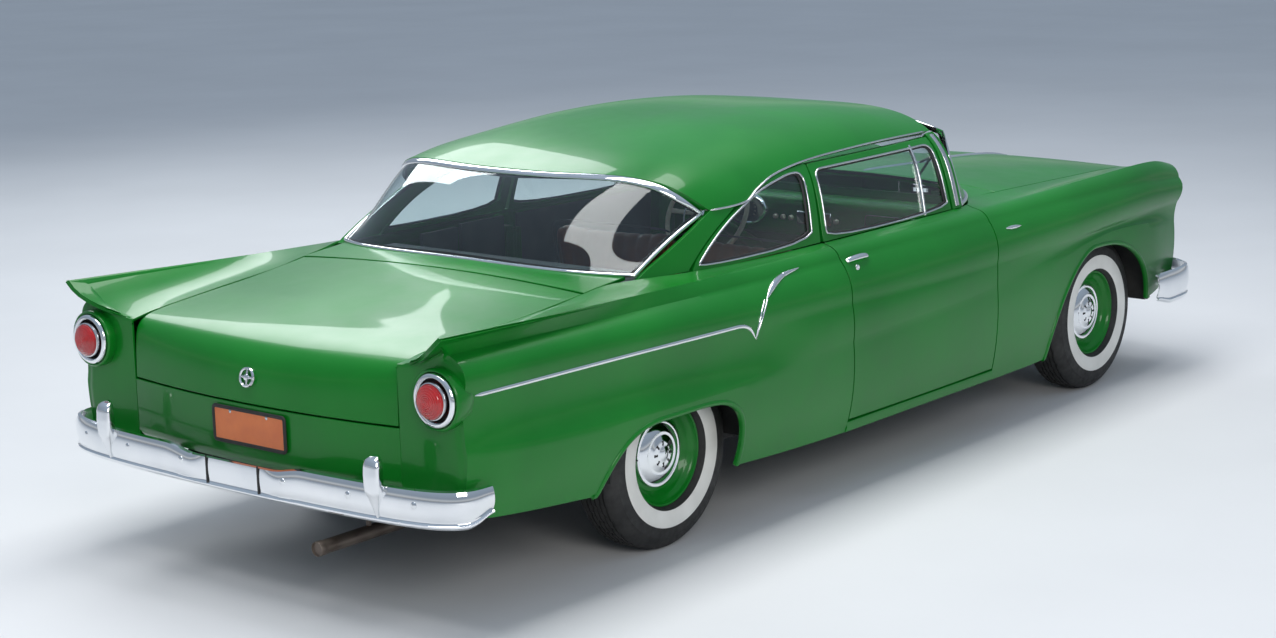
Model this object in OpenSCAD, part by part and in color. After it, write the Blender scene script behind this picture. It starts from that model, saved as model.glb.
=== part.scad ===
// A 1950s two-door sedan with tail fins, built as an assembly of panels, glass, chassis and running gear.
// Row frame: the front bumper faces -Y, the car's left side is +X, +Z is up, and the ground is z = 0.

/* [Overall] */
// Length over both bumpers
overall_length = 5120; // [4300:20:6200]
// Width over the bumper ends
overall_width = 1956; // [1640:4:2350]
// Height of the roof above the ground
overall_height = 1400; // [1200:5:1650]

/* [Running gear] */
// Distance between the front and rear axles
wheelbase = 2946; // [2500:2:3400]
// Distance from the front bumper face to the front axle
front_overhang = 870; // [760:5:980]
// Distance between the front tyre centres
track_front = 1490; // [1300:2:1700]
// Distance between the rear tyre centres
track_rear = 1433; // [1250:1:1650]
// Outer radius of a tyre
tyre_radius = 338; // [285:1:405]
// Section width of a tyre
tyre_width = 192; // [160:1:225]
// Radius of the rim's outer flange
rim_radius = 190; // [160:1:225]
// Radius of the hub cap
cap_radius = 122; // [100:1:146]
// Steering angle of the front wheels to each side, in degrees
steer_angle = 28; // [15:1:30]

/* [Panels] */
// Gap round each door, hood and deck lid
shut_gap = 6; // [5:0.5:9]
// Thickness of the fender and quarter walls
skin = 14; // [10:1:17]
// Thickness of the hood, deck lid and roof
lid_skin = 24; // [18:1:30]
// Distance from the centre line to the inner face of a door
door_inner_x = 800; // [780:1:815]
// Opening angle of a door, in degrees
door_open = 62; // [30:1:70]

/* [Glass] */
// Thickness of all glass
glass = 6; // [4:0.5:8]

/* [Hidden] */
$fn = 48;

// Scale of the styling curves against their drawn size
ky = overall_length / 5120;
kx = overall_width / 1956;
kz = overall_height / 1400;

front_axle = -overall_length / 2 + front_overhang;
rear_axle = front_axle + wheelbase;
nose_y = -2372 * ky;
tail_y = 2405 * ky;
door_front = -700 * ky;
door_rear = 330 * ky;
hood_rear = -1090 * ky;
deck_front = 1560 * ky;
floor_z = 300 * kz;
arch_gap = 58;

paint = "forestgreen";

// ---- Curves through a table of [key, value, ...] rows ----
function lerp(a, b, t) = a + (b - a) * t;
function clamp(v, a, b) = min(max(v, a), b);
function smooth(t) = let (c = clamp(t, 0, 1)) c * c * (3 - 2 * c);
function span_of(T, k, i = 0) = i >= len(T) - 2 || k < T[i + 1][0] ? i : span_of(T, k, i + 1);
function slope(T, i, c) = let (a = max(i - 1, 0), b = min(i + 1, len(T) - 1))
    (T[b][c] - T[a][c]) / (T[b][0] - T[a][0]);
// Cubic through the table's points, flat beyond its ends
function curve(T, key, c = 1) = let (k = clamp(key, T[0][0], T[len(T) - 1][0]), i = span_of(T, k),
    h = T[i + 1][0] - T[i][0], t = (k - T[i][0]) / h, t2 = t * t, t3 = t2 * t)
    (2 * t3 - 3 * t2 + 1) * T[i][c] + (t3 - 2 * t2 + t) * h * slope(T, i, c)
    + (3 * t2 - 2 * t3) * T[i + 1][c] + (t3 - t2) * h * slope(T, i + 1, c);
function sized(T) = [for (r = T) [r[0] * ky, r[1] * kx, r[2] * kz]];
function stretched(T) = [for (r = T) [r[0] * ky, r[1]]];

// ---- Feature lines of the left body side: [y, x, z] ----
sill_line = sized([[-2372, 842, 405], [-2085, 882, 350], [-1250, 893, 250], [-1000, 895, 236],
    [300, 900, 238], [1000, 903, 262], [1800, 905, 330], [2250, 900, 372], [2405, 885, 400]]);
crease_line = sized([[-2372, 858, 650], [-2085, 900, 690], [-1690, 912, 708], [-1250, 922, 670],
    [-600, 935, 620], [300, 942, 590], [1000, 955, 564], [1400, 962, 566], [2000, 958, 582],
    [2270, 945, 598], [2405, 925, 610]]);
trim_line = sized([[-2372, 872, 742], [-1690, 910, 736], [-1200, 924, 728], [-400, 936, 722],
    [300, 938, 735], [919, 938, 748], [1766, 938, 782], [2370, 925, 787], [2405, 920, 788]]);
shoulder_line = sized([[-2372, 862, 850], [-2000, 888, 880], [-1200, 893, 890], [-400, 890, 893],
    [300, 885, 893], [900, 880, 893], [1500, 874, 900], [2000, 869, 908], [2405, 866, 915]]);
ridge_line = sized([[-2372, 812, 908], [-2175, 836, 948], [-1690, 842, 948], [-1000, 838, 936],
    [-600, 838, 936], [300, 843, 938], [900, 850, 940], [1400, 862, 948], [2000, 886, 966],
    [2405, 906, 985]]);
// Inner edge of the fenders: the hood seam, the foot of the greenhouse, then the deck seam
seam_line = sized([[-2372, 640, 884], [-2175, 655, 908], [-1690, 670, 925], [-1090, 690, 943],
    [-900, 693, 948], [-850, 702, 949], [-700, 786, 950], [-400, 808, 950], [385, 808, 950],
    [900, 800, 955], [1150, 780, 962], [1320, 748, 967], [1450, 700, 962], [1560, 690, 949],
    [1700, 682, 930], [2000, 668, 905], [2300, 652, 878], [2405, 645, 862]]);
side_lines = [sill_line, crease_line, trim_line, shoulder_line, ridge_line, seam_line];
// How far each strip between two lines bulges outward: [y, bulge]
side_bulges = [
    stretched([[-2372, 10], [-1200, 14], [300, 18], [1000, 16], [2000, 14], [2405, 10]]),
    stretched([[-2372, -4], [-1690, -8], [-1000, -2], [0, 6], [600, 4], [1000, -12], [1700, -18],
        [2405, -8]]),
    stretched([[-2372, 20], [-1690, 24], [-600, 19], [300, 18], [900, 22], [1500, 30], [2405, 36]]),
    stretched([[-2372, 12], [-1690, 10], [-600, 8], [300, 7], [1000, 3], [1700, -2], [2405, -4]]),
    stretched([[-2372, -4], [-1690, -10], [-1000, -5], [-600, 0], [385, 0], [1450, -6], [2000, -20],
        [2405, -24]])];

// Half section of the body side at station y: s = 0 at the sill, 4 at the ridge, 5 at the seam
function side_xz(y, s) = let (i = clamp(floor(s), 0, 4), t = s - i,
    a = [curve(side_lines[i], y, 1), curve(side_lines[i], y, 2)],
    b = [curve(side_lines[i + 1], y, 1), curve(side_lines[i + 1], y, 2)],
    d = b - a, n = [d[1], -d[0]] / norm(d))
    lerp(a, b, t) + n * curve(side_bulges[i], y) * 4 * t * (1 - t);
// The fin tip runs out over the tail lamp and the brow runs out over the headlamp
fin_reach = 76;
brow_reach = 34;
function sweep(y, s) = fin_reach * smooth((y / ky - 2120) / 285) * smooth((s - 3) / 1) * smooth((5 - s) / 0.9)
    - brow_reach * smooth((-2130 - y / ky) / 230) * smooth((s - 1.9) / 1);
function side(y, s) = let (p = side_xz(y, s)) [p[0], y + sweep(y, s), p[1]];
function line_z(i, y) = curve(side_lines[i], y, 2);
// The strip coordinate at height z, for the lower edge of a panel
function s_at(y, z) = z < line_z(1, y) ? clamp((z - line_z(0, y)) / (line_z(1, y) - line_z(0, y)), 0, 1)
    : z < line_z(2, y) ? 1 + (z - line_z(1, y)) / (line_z(2, y) - line_z(1, y))
    : 2 + clamp((z - line_z(2, y)) / (line_z(3, y) - line_z(2, y)), 0, 0.9);

// ---- Wheel arches ----
front_arch_top = tyre_radius + 327;
rear_arch_top = tyre_radius + 200;
front_arch_rear = front_axle + tyre_radius + 215;
front_arch_front = front_axle - tyre_radius - arch_gap;
rear_arch_front = rear_axle - tyre_radius + 88;
rear_arch_rear = rear_axle + tyre_radius + 195;
function arch_curve(y, a, b, p, q) = let (m = (a * 0.42 + b * 0.58))
    y <= a || y >= b ? 0 : y < m ? pow(1 - pow((m - y) / (m - a), p), 1 / p)
    : pow(1 - pow((y - m) / (b - m), q), 1 / q);
function arch_z(y) = max(
    lerp(160, front_arch_top, arch_curve(y, front_arch_front, front_arch_rear, 2.6, 1.75)),
    lerp(160, rear_arch_top, arch_curve(y, rear_arch_front, rear_arch_rear, 5, 2.6)));

// ---- Greenhouse: a superellipse section at each station ----
belt_z = 950 * kz;
dome_top = [for (r = [[-640, 1346], [-300, 1384], [100, 1400], [500, 1386], [900, 1338], [1150, 1276],
    [1300, 1222], [1450, 1160]]) [r[0] * ky, r[1] * kz]];
dome_half = [for (r = [[-640, 806], [0, 806], [600, 806], [900, 798], [1100, 782], [1300, 748],
    [1450, 712]]) [r[0] * ky, r[1] * kx]];
dome_power = stretched([[-640, 4], [300, 4], [700, 4], [1000, 4.7], [1150, 4.8], [1300, 3.4], [1450, 2.6]]);
dome_lean = stretched([[-640, 0.12], [300, 0.12], [900, 0.1], [1450, 0.08]]);
// Outline height of the roof's side edge: [y, z]
roof_edge = [for (r = [[-640, 1252], [-300, 1258], [0, 1256], [300, 1246], [515, 1222], [640, 1188],
    [730, 1154], [932, 1149], [1150, 1149]]) [r[0] * ky, r[1] * kz]];

function dome_xz(y, c, h) = [curve(dome_half, y) * c * (1 - curve(dome_lean, y) * h),
    belt_z + (curve(dome_top, y) - belt_z) * h];
function dome_at_angle(y, a) = let (n = curve(dome_power, y), c = abs(cos(a)), h = sin(a),
    r = pow(pow(c, n) + pow(h, n), 1 / n)) dome_xz(y, sign(cos(a)) * c / r, h / r);
function dome_angle(y, z) = let (n = curve(dome_power, y),
    h = clamp((z - belt_z) / (curve(dome_top, y) - belt_z), 0, 1)) atan2(h, pow(1 - pow(h, n), 1 / n));
// Outer half width of the greenhouse at (y, z)
function dome_x(y, z) = dome_at_angle(y, dome_angle(y, z))[0];

// ---- Shells: a grid of outer points, thickened inward ----
function unit(v) = v / max(norm(v), 1e-9);
function normal_at(G, i, j) = let (m = len(G) - 1, n = len(G[0]) - 1,
    u = G[min(i + 1, m)][j] - G[max(i - 1, 0)][j], v = G[i][min(j + 1, n)] - G[i][max(j - 1, 0)])
    unit(cross(u, v));
// With level set, the first and last columns are cut off horizontally, so that they meet a neighbour
function cut_normal(n, level) = level && norm([n[0], n[1]]) > 0.2 ? unit([n[0], n[1], 0]) : n;
function inset(G, t, level = false) = let (n = len(G[0]) - 1) [for (i = [0:len(G) - 1])
    [for (j = [0:n]) G[i][j] - t * cut_normal(normal_at(G, i, j), level && (j == 0 || j == n))]];
function flat_list(G) = [for (r = G) for (p = r) p];
// Closed solid between an outer grid A and an inner grid B of the same size
module between(A, B) {
    m = len(A);
    n = len(A[0]);
    k = m * n;
    faces = [
        for (i = [0:m - 2]) for (j = [0:n - 2]) let (a = i * n + j, b = a + n)
            each [[a, a + 1, b], [a + 1, b + 1, b], [k + a, k + b, k + a + 1], [k + a + 1, k + b, k + b + 1]],
        for (i = [0:m - 2]) let (a = i * n, b = a + n, c = a + n - 1, d = c + n)
            each [[a, b, k + a], [b, k + b, k + a], [c, k + c, d], [d, k + c, k + d]],
        for (j = [0:n - 2]) let (a = j, c = (m - 1) * n + j)
            each [[a, k + a, a + 1], [a + 1, k + a, k + a + 1],
                [c, c + 1, k + c], [c + 1, k + c + 1, k + c]]];
    polyhedron(concat(flat_list(A), flat_list(B)), faces, convexity = 6);
}
module shell(G, t, level = false) { between(G, inset(G, t, level)); }
// A band between an outer and an inner closed loop, thickened inward along X
module ring(outer, inner, t) {
    n = len(outer);
    points = concat(outer, inner, [for (p = inner) p - [t, 0, 0]], [for (p = outer) p - [t, 0, 0]]);
    faces = [for (r = [0:3]) for (i = [0:n - 1]) let (a = r * n + i, b = r * n + (i + 1) % n,
        c = ((r + 1) % 4) * n + i, d = ((r + 1) % 4) * n + (i + 1) % n) each [[a, b, c], [b, d, c]]];
    polyhedron(points, faces, convexity = 6);
}
module both() {
    children();
    mirror([1, 0, 0]) children();
}

// ---- Body side panels ----
strip_rows = [4, 4, 4, 2, 3];
function rows_from(y, low) = let (s0 = s_at(y, low)) [
    for (j = [0:strip_rows[0]]) max(lerp(min(s0, 0.99), 1, j / strip_rows[0]), s0 + j * 0.02),
    for (k = [1:4]) for (j = [1:strip_rows[k]]) max(k + j / strip_rows[k], s0 + 0.08 + (k * 5 + j) * 0.004)];
function panel_low(y) = max(line_z(0, y), arch_z(y));
function side_grid(stations) = [for (y = stations) [for (s = rows_from(y, panel_low(y))) side(y, s)]];
// The end of a fender turned inboard as a flat wall at y, from w = 0 at the skin to w = 1 at x
function wall_row(row, y, w, x, top, b = 1) = [for (j = [0:len(row) - 1]) let (p = row[j], n = len(row) - 1)
    [lerp(p[0], x, w), lerp(p[1], y, b), lerp(p[2], lerp(row[0][2], top, j / n), w)]];

wall_x = 646 * kx;
module quarter() {
    y0 = door_rear + shut_gap;
    main = side_grid([y0, lerp(y0, rear_arch_front, 0.35), lerp(y0, rear_arch_front, 0.7),
        rear_arch_front - 2, rear_arch_front + 1, rear_arch_front + 8, rear_arch_front + 30,
        rear_arch_front + 80, rear_axle - 150, rear_axle + 20, rear_axle + 180, rear_axle + 330,
        rear_axle + 440, rear_arch_rear - 25, rear_arch_rear + 2, 1960 * ky, 2120 * ky, 2220 * ky,
        2310 * ky, 2370 * ky, tail_y - 8]);
    last = main[len(main) - 1];
    shell(concat(main, [wall_row(last, tail_y - 1, 0.05, wall_x, 852 * kz, 0.12),
        wall_row(last, tail_y - 1, 0.1, wall_x, 852 * kz, 0.8),
        wall_row(last, tail_y, 0.3, wall_x, 852 * kz), wall_row(last, tail_y, 1, wall_x, 852 * kz)]), skin);
}
module fender() {
    y1 = door_front - shut_gap;
    main = side_grid([nose_y + 8, -2350 * ky, -2290 * ky, -2220 * ky, -2140 * ky, front_arch_front - 3,
        front_arch_front + 1, front_arch_front + 12, front_arch_front + 45, front_arch_front + 110,
        front_axle - 180, front_axle - 60, front_axle + 80, front_axle + 220, front_axle + 340,
        front_axle + 450, front_arch_rear - 25, front_arch_rear + 3, hood_rear, -950 * ky, -840 * ky, y1]);
    first = main[0];
    shell(concat([wall_row(first, nose_y, 1, wall_x, 860 * kz),
        wall_row(first, nose_y, 0.3, wall_x, 860 * kz),
        wall_row(first, nose_y + 1, 0.1, wall_x, 860 * kz, 0.8),
        wall_row(first, nose_y + 1, 0.05, wall_x, 860 * kz, 0.12)], main), skin);
}
module door_panel() {
    y0 = door_front;
    y1 = door_rear;
    low = 52 * kz;
    G = [for (i = [0:10]) let (y = lerp(y0, y1, i / 10))
        [for (s = rows_from(y, line_z(0, y) + low)) side(y, s)]];
    inner = [for (r = G) [for (p = r) [min(door_inner_x * kx, p[0] - 4),
        lerp(y0 + 14, y1 - 24, (p[1] - y0) / (y1 - y0)), p[2] - 14 * smooth((p[2] / kz - 900) / 50)]]];
    between(G, inner);
}

// ---- Hood, deck lid, roof ----
hood_centre = sized([[-2395, 0, 872], [-2330, 0, 902], [-2100, 0, 936], [-1700, 0, 962], [-1300, 0, 978],
    [-1090, 0, 984]]);
function hood_point(y, u) = let (x = (curve(seam_line, y, 1) - shut_gap) * u, zc = curve(hood_centre, y, 2),
    ze = curve(seam_line, y, 2)) [x, y, lerp(zc, ze, pow(abs(u), 2.4))];
module hood() {
    stations = [for (y = [-2378, -2350, -2300, -2200, -2080, -1900, -1700, -1500, -1300, -1190, -1090])
        y * ky];
    shell([for (y = stations) [for (i = [8:-1:-8]) hood_point(y, i / 8)]], lid_skin);
}
deck_centre = [for (r = [[0, 1560, 974], [0.3, 1830, 943], [0.6, 2110, 911], [0.78, 2300, 884],
    [0.86, 2390, 856], [0.9, 2430, 822], [0.94, 2450, 770], [1, 2458, 660]]) [r[0], r[1] * ky, r[2] * kz]];
deck_side = [for (r = [[0, 1560, 948], [0.3, 1830, 918], [0.6, 2110, 895], [0.78, 2290, 878],
    [0.86, 2360, 860], [0.9, 2388, 832], [0.94, 2399, 780], [1, 2405, 660]]) [r[0], r[1] * ky, r[2] * kz]];
function deck_point(t, u) = let (k = pow(abs(u), 2),
    y = lerp(curve(deck_centre, t, 1), curve(deck_side, t, 1), k),
    z = lerp(curve(deck_centre, t, 2), curve(deck_side, t, 2), k))
    [(curve(seam_line, y, 1) - shut_gap) * u, y, z];
module deck_lid() {
    shell([for (t = [0, 0.1, 0.25, 0.4, 0.55, 0.68, 0.78, 0.83, 0.87, 0.9, 0.93, 0.96, 1])
        [for (i = [8:-1:-8]) deck_point(t, i / 8)]], lid_skin);
}
roof_front = -625 * ky;
roof_back = 1150 * ky;
roof_back_corner = 932 * ky;
function roof_point(v, u) = let (
    y = lerp(roof_front, roof_back - (roof_back - roof_back_corner) * pow(abs(u), 3), v),
    a = lerp(90, dome_angle(y, curve(roof_edge, y)), abs(u)), p = dome_at_angle(y, a))
    [sign(u) * p[0], y, p[1]];
module roof() {
    shell([for (v = [0:14]) [for (i = [8:-1:-8]) roof_point(v / 14, i / 8)]], lid_skin, true);
}

// ---- Fixed greenhouse pieces ----
side_window_top = 14;
frame_band = 24;
quarter_glass_back = [for (r = [[950, 1078], [975, 1052], [1040, 965], [1093, 872], [1140, 760], [1180, 640],
    [1210, 540]]) [r[0] * kz, r[1] * ky]];
sail_front = [for (r = [[950, 1114], [975, 1088], [1040, 1001], [1093, 910], [1149, 788]])
    [r[0] * kz, r[1] * ky]];
sail_back = [for (r = [[950, 1352], [984, 1298], [1060, 1130], [1149, 934]]) [r[0] * kz, r[1] * ky]];
function on_dome(y, z) = [dome_x(y, z), y, z];
module sail_panel() {
    shell([for (i = [0:6]) [for (j = [0:8]) let (z = lerp(966 * kz, 1148 * kz, j / 8))
        on_dome(lerp(curve(sail_front, z), curve(sail_back, z), i / 6), z)]], lid_skin, true);
}
// The quarter window's outline: up the pillar, back along the roof, down the sloping rear edge
function quarter_loop(grow) = [
    for (i = [0:3]) let (z = lerp(966 * kz - grow * 0.5, 1215 * kz + grow, i / 3))
        [lerp(392 * ky, 352 * ky, i / 3) - grow * 1.9, z],
    for (y = [430, 500, 560])
        [y * ky, min(curve(roof_edge, y * ky) - 5, 1222 * kz - (y - 400) * 0.16 + grow)],
    for (i = [0:8]) let (z = lerp(1176 * kz, 966 * kz, i / 8), y = curve(quarter_glass_back, z) + grow)
        [y, min(z - (i == 8 ? grow * 0.5 : 0), curve(roof_edge, y) - 6)]];
module quarter_window_frame() {
    ring([for (p = quarter_loop(frame_band)) on_dome(p[0], p[1])],
        [for (p = quarter_loop(0)) on_dome(p[0], p[1])], lid_skin);
}
module sail_panels() {
    sail_panel();
    quarter_window_frame();
}
module a_pillar() {
    shell([for (i = [0:3]) [for (j = [0:8]) let (z = lerp(958 * kz, 1249 * kz, j / 8))
        on_dome(lerp(-640 * ky, -574 * ky, i / 3), z)]], 34);
    translate([716 * kx, -696 * ky, floor_z + 0.3]) cube([59, 118, 950 * kz - floor_z - 1]);
}
// The body's pillar behind each door, with the flange that the shut door's seal lies against
module pillars() {
    a_pillar();
    lock_pillar();
}
module lock_pillar() {
    translate([742 * kx, 342 * ky, floor_z + 0.3]) cube([100, 44, 890 * kz - floor_z]);
    translate([765 * kx, 270 * ky, floor_z + 0.3]) cube([door_inner_x * kx - 0.3 - 765 * kx, 30, 570 * kz]);
    translate([765 * kx, 300 * ky - 1, floor_z + 0.3]) cube([20, 43 * ky + 1, 570 * kz]);
}

module tint() { color("paleturquoise", 0.4) children(); }
// A door window between its front and rear edges
function door_loop(grow) = [
    for (i = [0:4]) let (z = lerp(958 * kz - grow * 0.3, 1214 * kz + grow, i / 4)) [-536 * ky - grow, z],
    for (i = [1:7]) [lerp(-536 * ky - grow, 276 * ky + grow, i / 8), lerp(1214, 1213, i / 8) * kz + grow],
    for (i = [0:4]) let (z = lerp(1213 * kz + grow, 958 * kz - grow * 0.3, i / 4))
        [lerp(276 * ky, 304 * ky, i / 4) + grow, z]];
module door_frame() {
    ring([for (p = door_loop(22)) on_dome(p[0], p[1])], [for (p = door_loop(0)) on_dome(p[0], p[1])], 26);
}
module door() {
    door_panel();
    door_frame();
}
module door_glass() {
    tint() shell([for (i = [0:6]) [for (j = [0:5]) let (z = lerp(960 * kz, 1212 * kz, j / 5),
        back = lerp(302, 275, j / 5) * ky) on_dome(lerp(-535 * ky, back, i / 6), z) - [11, 0, 0]]], glass);
}

// ---- Windshield and rear window ----
function windshield_point(u, v) = let (k = abs(u),
    base = [790 * kx * u, lerp(-1004, -657, pow(k, 6)) * ky, lerp(984, 958, k * k) * kz],
    top = [lerp(640, 704, k) * kx * u, lerp(-642, -650, k) * ky, lerp(1336, 1246, pow(k, 2.6)) * kz],
    bow = 4 * v * (1 - v)) lerp(base, top, v) + [0, -34 * ky * bow * (1 - k * k), 16 * kz * bow * (1 - k)];
module windshield() {
    shell([for (i = [-12:12]) [for (j = [0:6]) windshield_point(i / 12, j / 6)]], glass);
}
function rear_window_point(u, v) = let (k = abs(u), edge = roof_point(1, u),
    top = edge + [-25 * u, 18, -10],
    base = [713 * kx * u, lerp(1446, 1318, pow(k, 3.5)) * ky, lerp(990, 974, k * k) * kz],
    bow = 4 * v * (1 - v)) lerp(base, top, v) + [0, 30 * bow * (1 - k * k), 26 * bow * (1 - k * k * 0.6)];
module rear_window() {
    shell([for (i = [12:-1:-12]) [for (j = [0:6]) rear_window_point(i / 12, j / 6)]], glass);
}
module quarter_glass() {
    shell([for (i = [0:6]) [for (j = [0:5]) let (z = lerp(973 * kz, 1184 * kz, j / 5),
        front = lerp(394, 357, j / 5) * ky + 5, back = min(curve(quarter_glass_back, z), 560 * ky
            + (curve(quarter_glass_back, z) - 560 * ky) * 0.98) - 8)
        on_dome(lerp(front, back, i / 6), z) - [10, 0, 0]]], glass);
}
module fixed_glass() {
    tint() {
        windshield();
        rear_window();
        both() quarter_glass();
    }
}
module cowl() {
    shell([for (i = [-8:8]) let (x = i / 8 * 684 * kx) [for (j = [0:4])
        let (y1 = lerp(-1004, -657, pow(abs(x) / (790 * kx), 6)) * ky - 0.6)
            [x, lerp(hood_rear + shut_gap, y1, j / 4), lerp(984, 944, pow(abs(i) / 8, 2.4)) * kz]]], skin);
}
module shelf_panel() {
    shell([for (i = [-8:8]) let (x = i / 8 * 687 * kx, k = abs(x) / (713 * kx)) [for (j = [0:4])
        let (y0 = lerp(1446, 1318, pow(k, 3.5)) * ky + 0.6)
            [x, lerp(y0, deck_front - shut_gap, j / 4), lerp(lerp(991, 970, k * k),
                lerp(975, 950, k * k), j / 4) * kz]]], skin);
}
// Below the windshield and below the rear window
module cowl_panels() {
    cowl();
    shelf_panel();
}
module rear_panel() {
    shell([for (i = [8:-1:-8]) let (u = i / 8) [for (j = [0:5])
        [(wall_x - 1.5) * u, lerp(2457, 2405, u * u) * ky - (j == 0 ? 30 : 0),
            lerp(440, 654, j / 5) * kz]]], skin);
    // Rubber rests under the deck lid's lower edge
    for (x = [-420, 420]) translate([x - 15, 2410 * ky, 648 * kz]) cube([30, 20, 10.5 * kz]);
}
module rockers() {
    y0 = door_front - shut_gap + 0.3;
    color(paint) both() translate([0, y0, 0]) rotate([90, 0, 180]) mirror([1, 0, 0])
        linear_extrude(door_rear + shut_gap - 0.3 - y0) polygon([[790.3 * kx, 284 * kz], [896 * kx, 284 * kz],
            [910 * kx, 258 * kz], [904 * kx, 238 * kz], [790.3 * kx, 238 * kz]]);
}

// ---- Structure under the skin ----
sheet = 20;
upper_floor = 505;
riser_y = 640 * ky;
house_inner = 585;
house_rear_r = tyre_radius + 40;
module tunnel_shape(w, h) {
    polygon([[-w, floor_z - sheet], [-w * 0.72, floor_z - sheet + h], [w * 0.72, floor_z - sheet + h],
        [w, floor_z - sheet]]);
}
tunnel_h = 95;
module floor_pan() {
    color("dimgray") {
        difference() {
            union() {
                translate([-790 * kx, -985 * ky, floor_z - sheet])
                    cube([1580 * kx, riser_y + sheet + 985 * ky, sheet]);
                translate([0, riser_y, 0]) rotate([90, 0, 0]) linear_extrude(riser_y + 966 * ky)
                    tunnel_shape(120, tunnel_h);
                translate([-790 * kx, riser_y, floor_z - sheet])
                    cube([1580 * kx, sheet, upper_floor - floor_z + sheet]);
                translate([-house_inner + 0.3, riser_y, upper_floor - sheet])
                    cube([2 * house_inner - 0.6, 2330 * ky - riser_y, sheet]);
                translate([-790 * kx, rear_axle + house_rear_r + 12, upper_floor - sheet])
                    cube([1580 * kx, 2330 * ky - rear_axle - house_rear_r - 12, sheet]);
            }
            translate([0, riser_y + 1, -sheet]) rotate([90, 0, 0]) linear_extrude(riser_y + 990 * ky)
                tunnel_shape(103, tunnel_h);
            translate([-75, riser_y - 10, floor_z - sheet - 1]) cube([150, 60, tunnel_h - sheet + 1]);
        }
    }
}
module firewall() {
    color(paint) difference() {
        translate([-690 * kx, -985 * ky, floor_z + 0.3]) cube([1380 * kx, 18, 926 * kz - floor_z]);
        translate([-110, -990 * ky, floor_z]) cube([220, 30, 130]);
    }
    // Rubber rests under the hood's rear edge
    color("black") for (x = [-450, 450]) translate([x - 20, -1140 * ky, 0]) translate([0, 0, 880 * kz])
        cube([40, 150 * ky - 0.5, hood_point(-1115 * ky, 450 / 684)[2] - lid_skin * 1.02 - 880 * kz - 3]);
}
// Trim panels beside the rear seat, the parcel shelf behind it and the headlining cross bars
module inner_panels() {
    color("slategray") {
        both() {
            translate([752 * kx, 388 * ky, floor_z + 0.3]) cube([18, riser_y - 388 * ky - 1, 634 * kz]);
            translate([752 * kx, riser_y + sheet + 0.3, upper_floor - 180]) cube([18, 200 * ky, 600 * kz]);
        }
        translate([-650 * kx, 1120 * ky, 925 * kz]) cube([1300 * kx, 310 * ky, 12]);
        translate([-560 * kx, 1120 * ky, upper_floor + 0.3]) cube([1120 * kx, 12, 925 * kz - upper_floor]);
    }
}
module wheelhouse(y, x0, x1, r, notch) {
    difference() {
        intersection() {
            translate([x0, y, tyre_radius]) rotate([0, 90, 0]) difference() {
                cylinder(r = r + 8, h = x1 - x0, $fn = 72);
                translate([0, 0, 8]) cylinder(r = r, h = x1 - x0, $fn = 72);
            }
            translate([x0 - 5, y - 500, floor_z + 30]) cube([x1 - x0 + 10, 1000, 600]);
        }
        translate([x0 - 10, y - notch[0], floor_z]) cube([30, 2 * notch[0], notch[1]]);
    }
}
house_front_r = tyre_radius + 75;
module wheelhouses() {
    color("dimgray") both() {
        wheelhouse(front_axle, 470.3, 855 * kx, house_front_r, [170, 230]);
        wheelhouse(rear_axle, house_inner, 855 * kx, house_rear_r, [70, 150]);
    }
}
// A bar of width w from x to x + w whose side outline is [y, z]
module bar(x, w, outline) {
    translate([x, 0, 0]) rotate([90, 0, 90]) linear_extrude(w) polygon(outline);
}
rail_low = 190 * kz;
rail_top = floor_z - sheet - 0.3;
kick_top = upper_floor - sheet - 0.3;
rail_front = -2290 * ky;
rail_rear = 2290 * ky;
module frame_rails() {
    color("black") {
        both() bar(400, 70, [[rail_front, 330], [-2010 * ky, 400], [-1380 * ky, 400], [-1180 * ky, rail_low],
            [rear_axle - 470, rail_low], [rear_axle - 230, 400], [rear_axle + 330, 400],
            [rear_axle + 480, 330], [rail_rear, 330], [rail_rear, 420], [rear_axle + 490, 420],
            [rear_axle + 350, kick_top], [rear_axle - 250, kick_top], [rear_axle - 500, rail_top],
            [-1130 * ky, rail_top], [-1350 * ky, 484], [-2030 * ky, 484], [rail_front, 430]]);
        translate([-400.5, -640 * ky, rail_top - 38]) cube([801, 90, 22]);
        translate([-400.5, rear_axle + 180, 420]) cube([801, 60, 40]);
        translate([-400.5, -2270 * ky, 350]) cube([801, 60, 70]);
        translate([-400.5, 2200 * ky, 350]) cube([801, 60, 60]);
    }
}
engine_low = 330;
engine_back = front_axle + 440;
module engine() {
    radiator();
    color("dimgray") {
        translate([-250, front_axle - 290, engine_low]) cube([500, engine_back - front_axle + 290, 380]);
        translate([0, engine_back - 1, 345]) rotate([-90, 0, 0])
            cylinder(r = 82, h = -1000 * ky - engine_back);
        translate([0, -1000 * ky - 1, 300]) rotate([-90, 0, 0])
            cylinder(r = 32, h = rear_axle - 130 + 1000 * ky);
        translate([0, front_axle - 20, engine_low + 379]) cylinder(r = 150, h = 75);
    }
}
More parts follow.
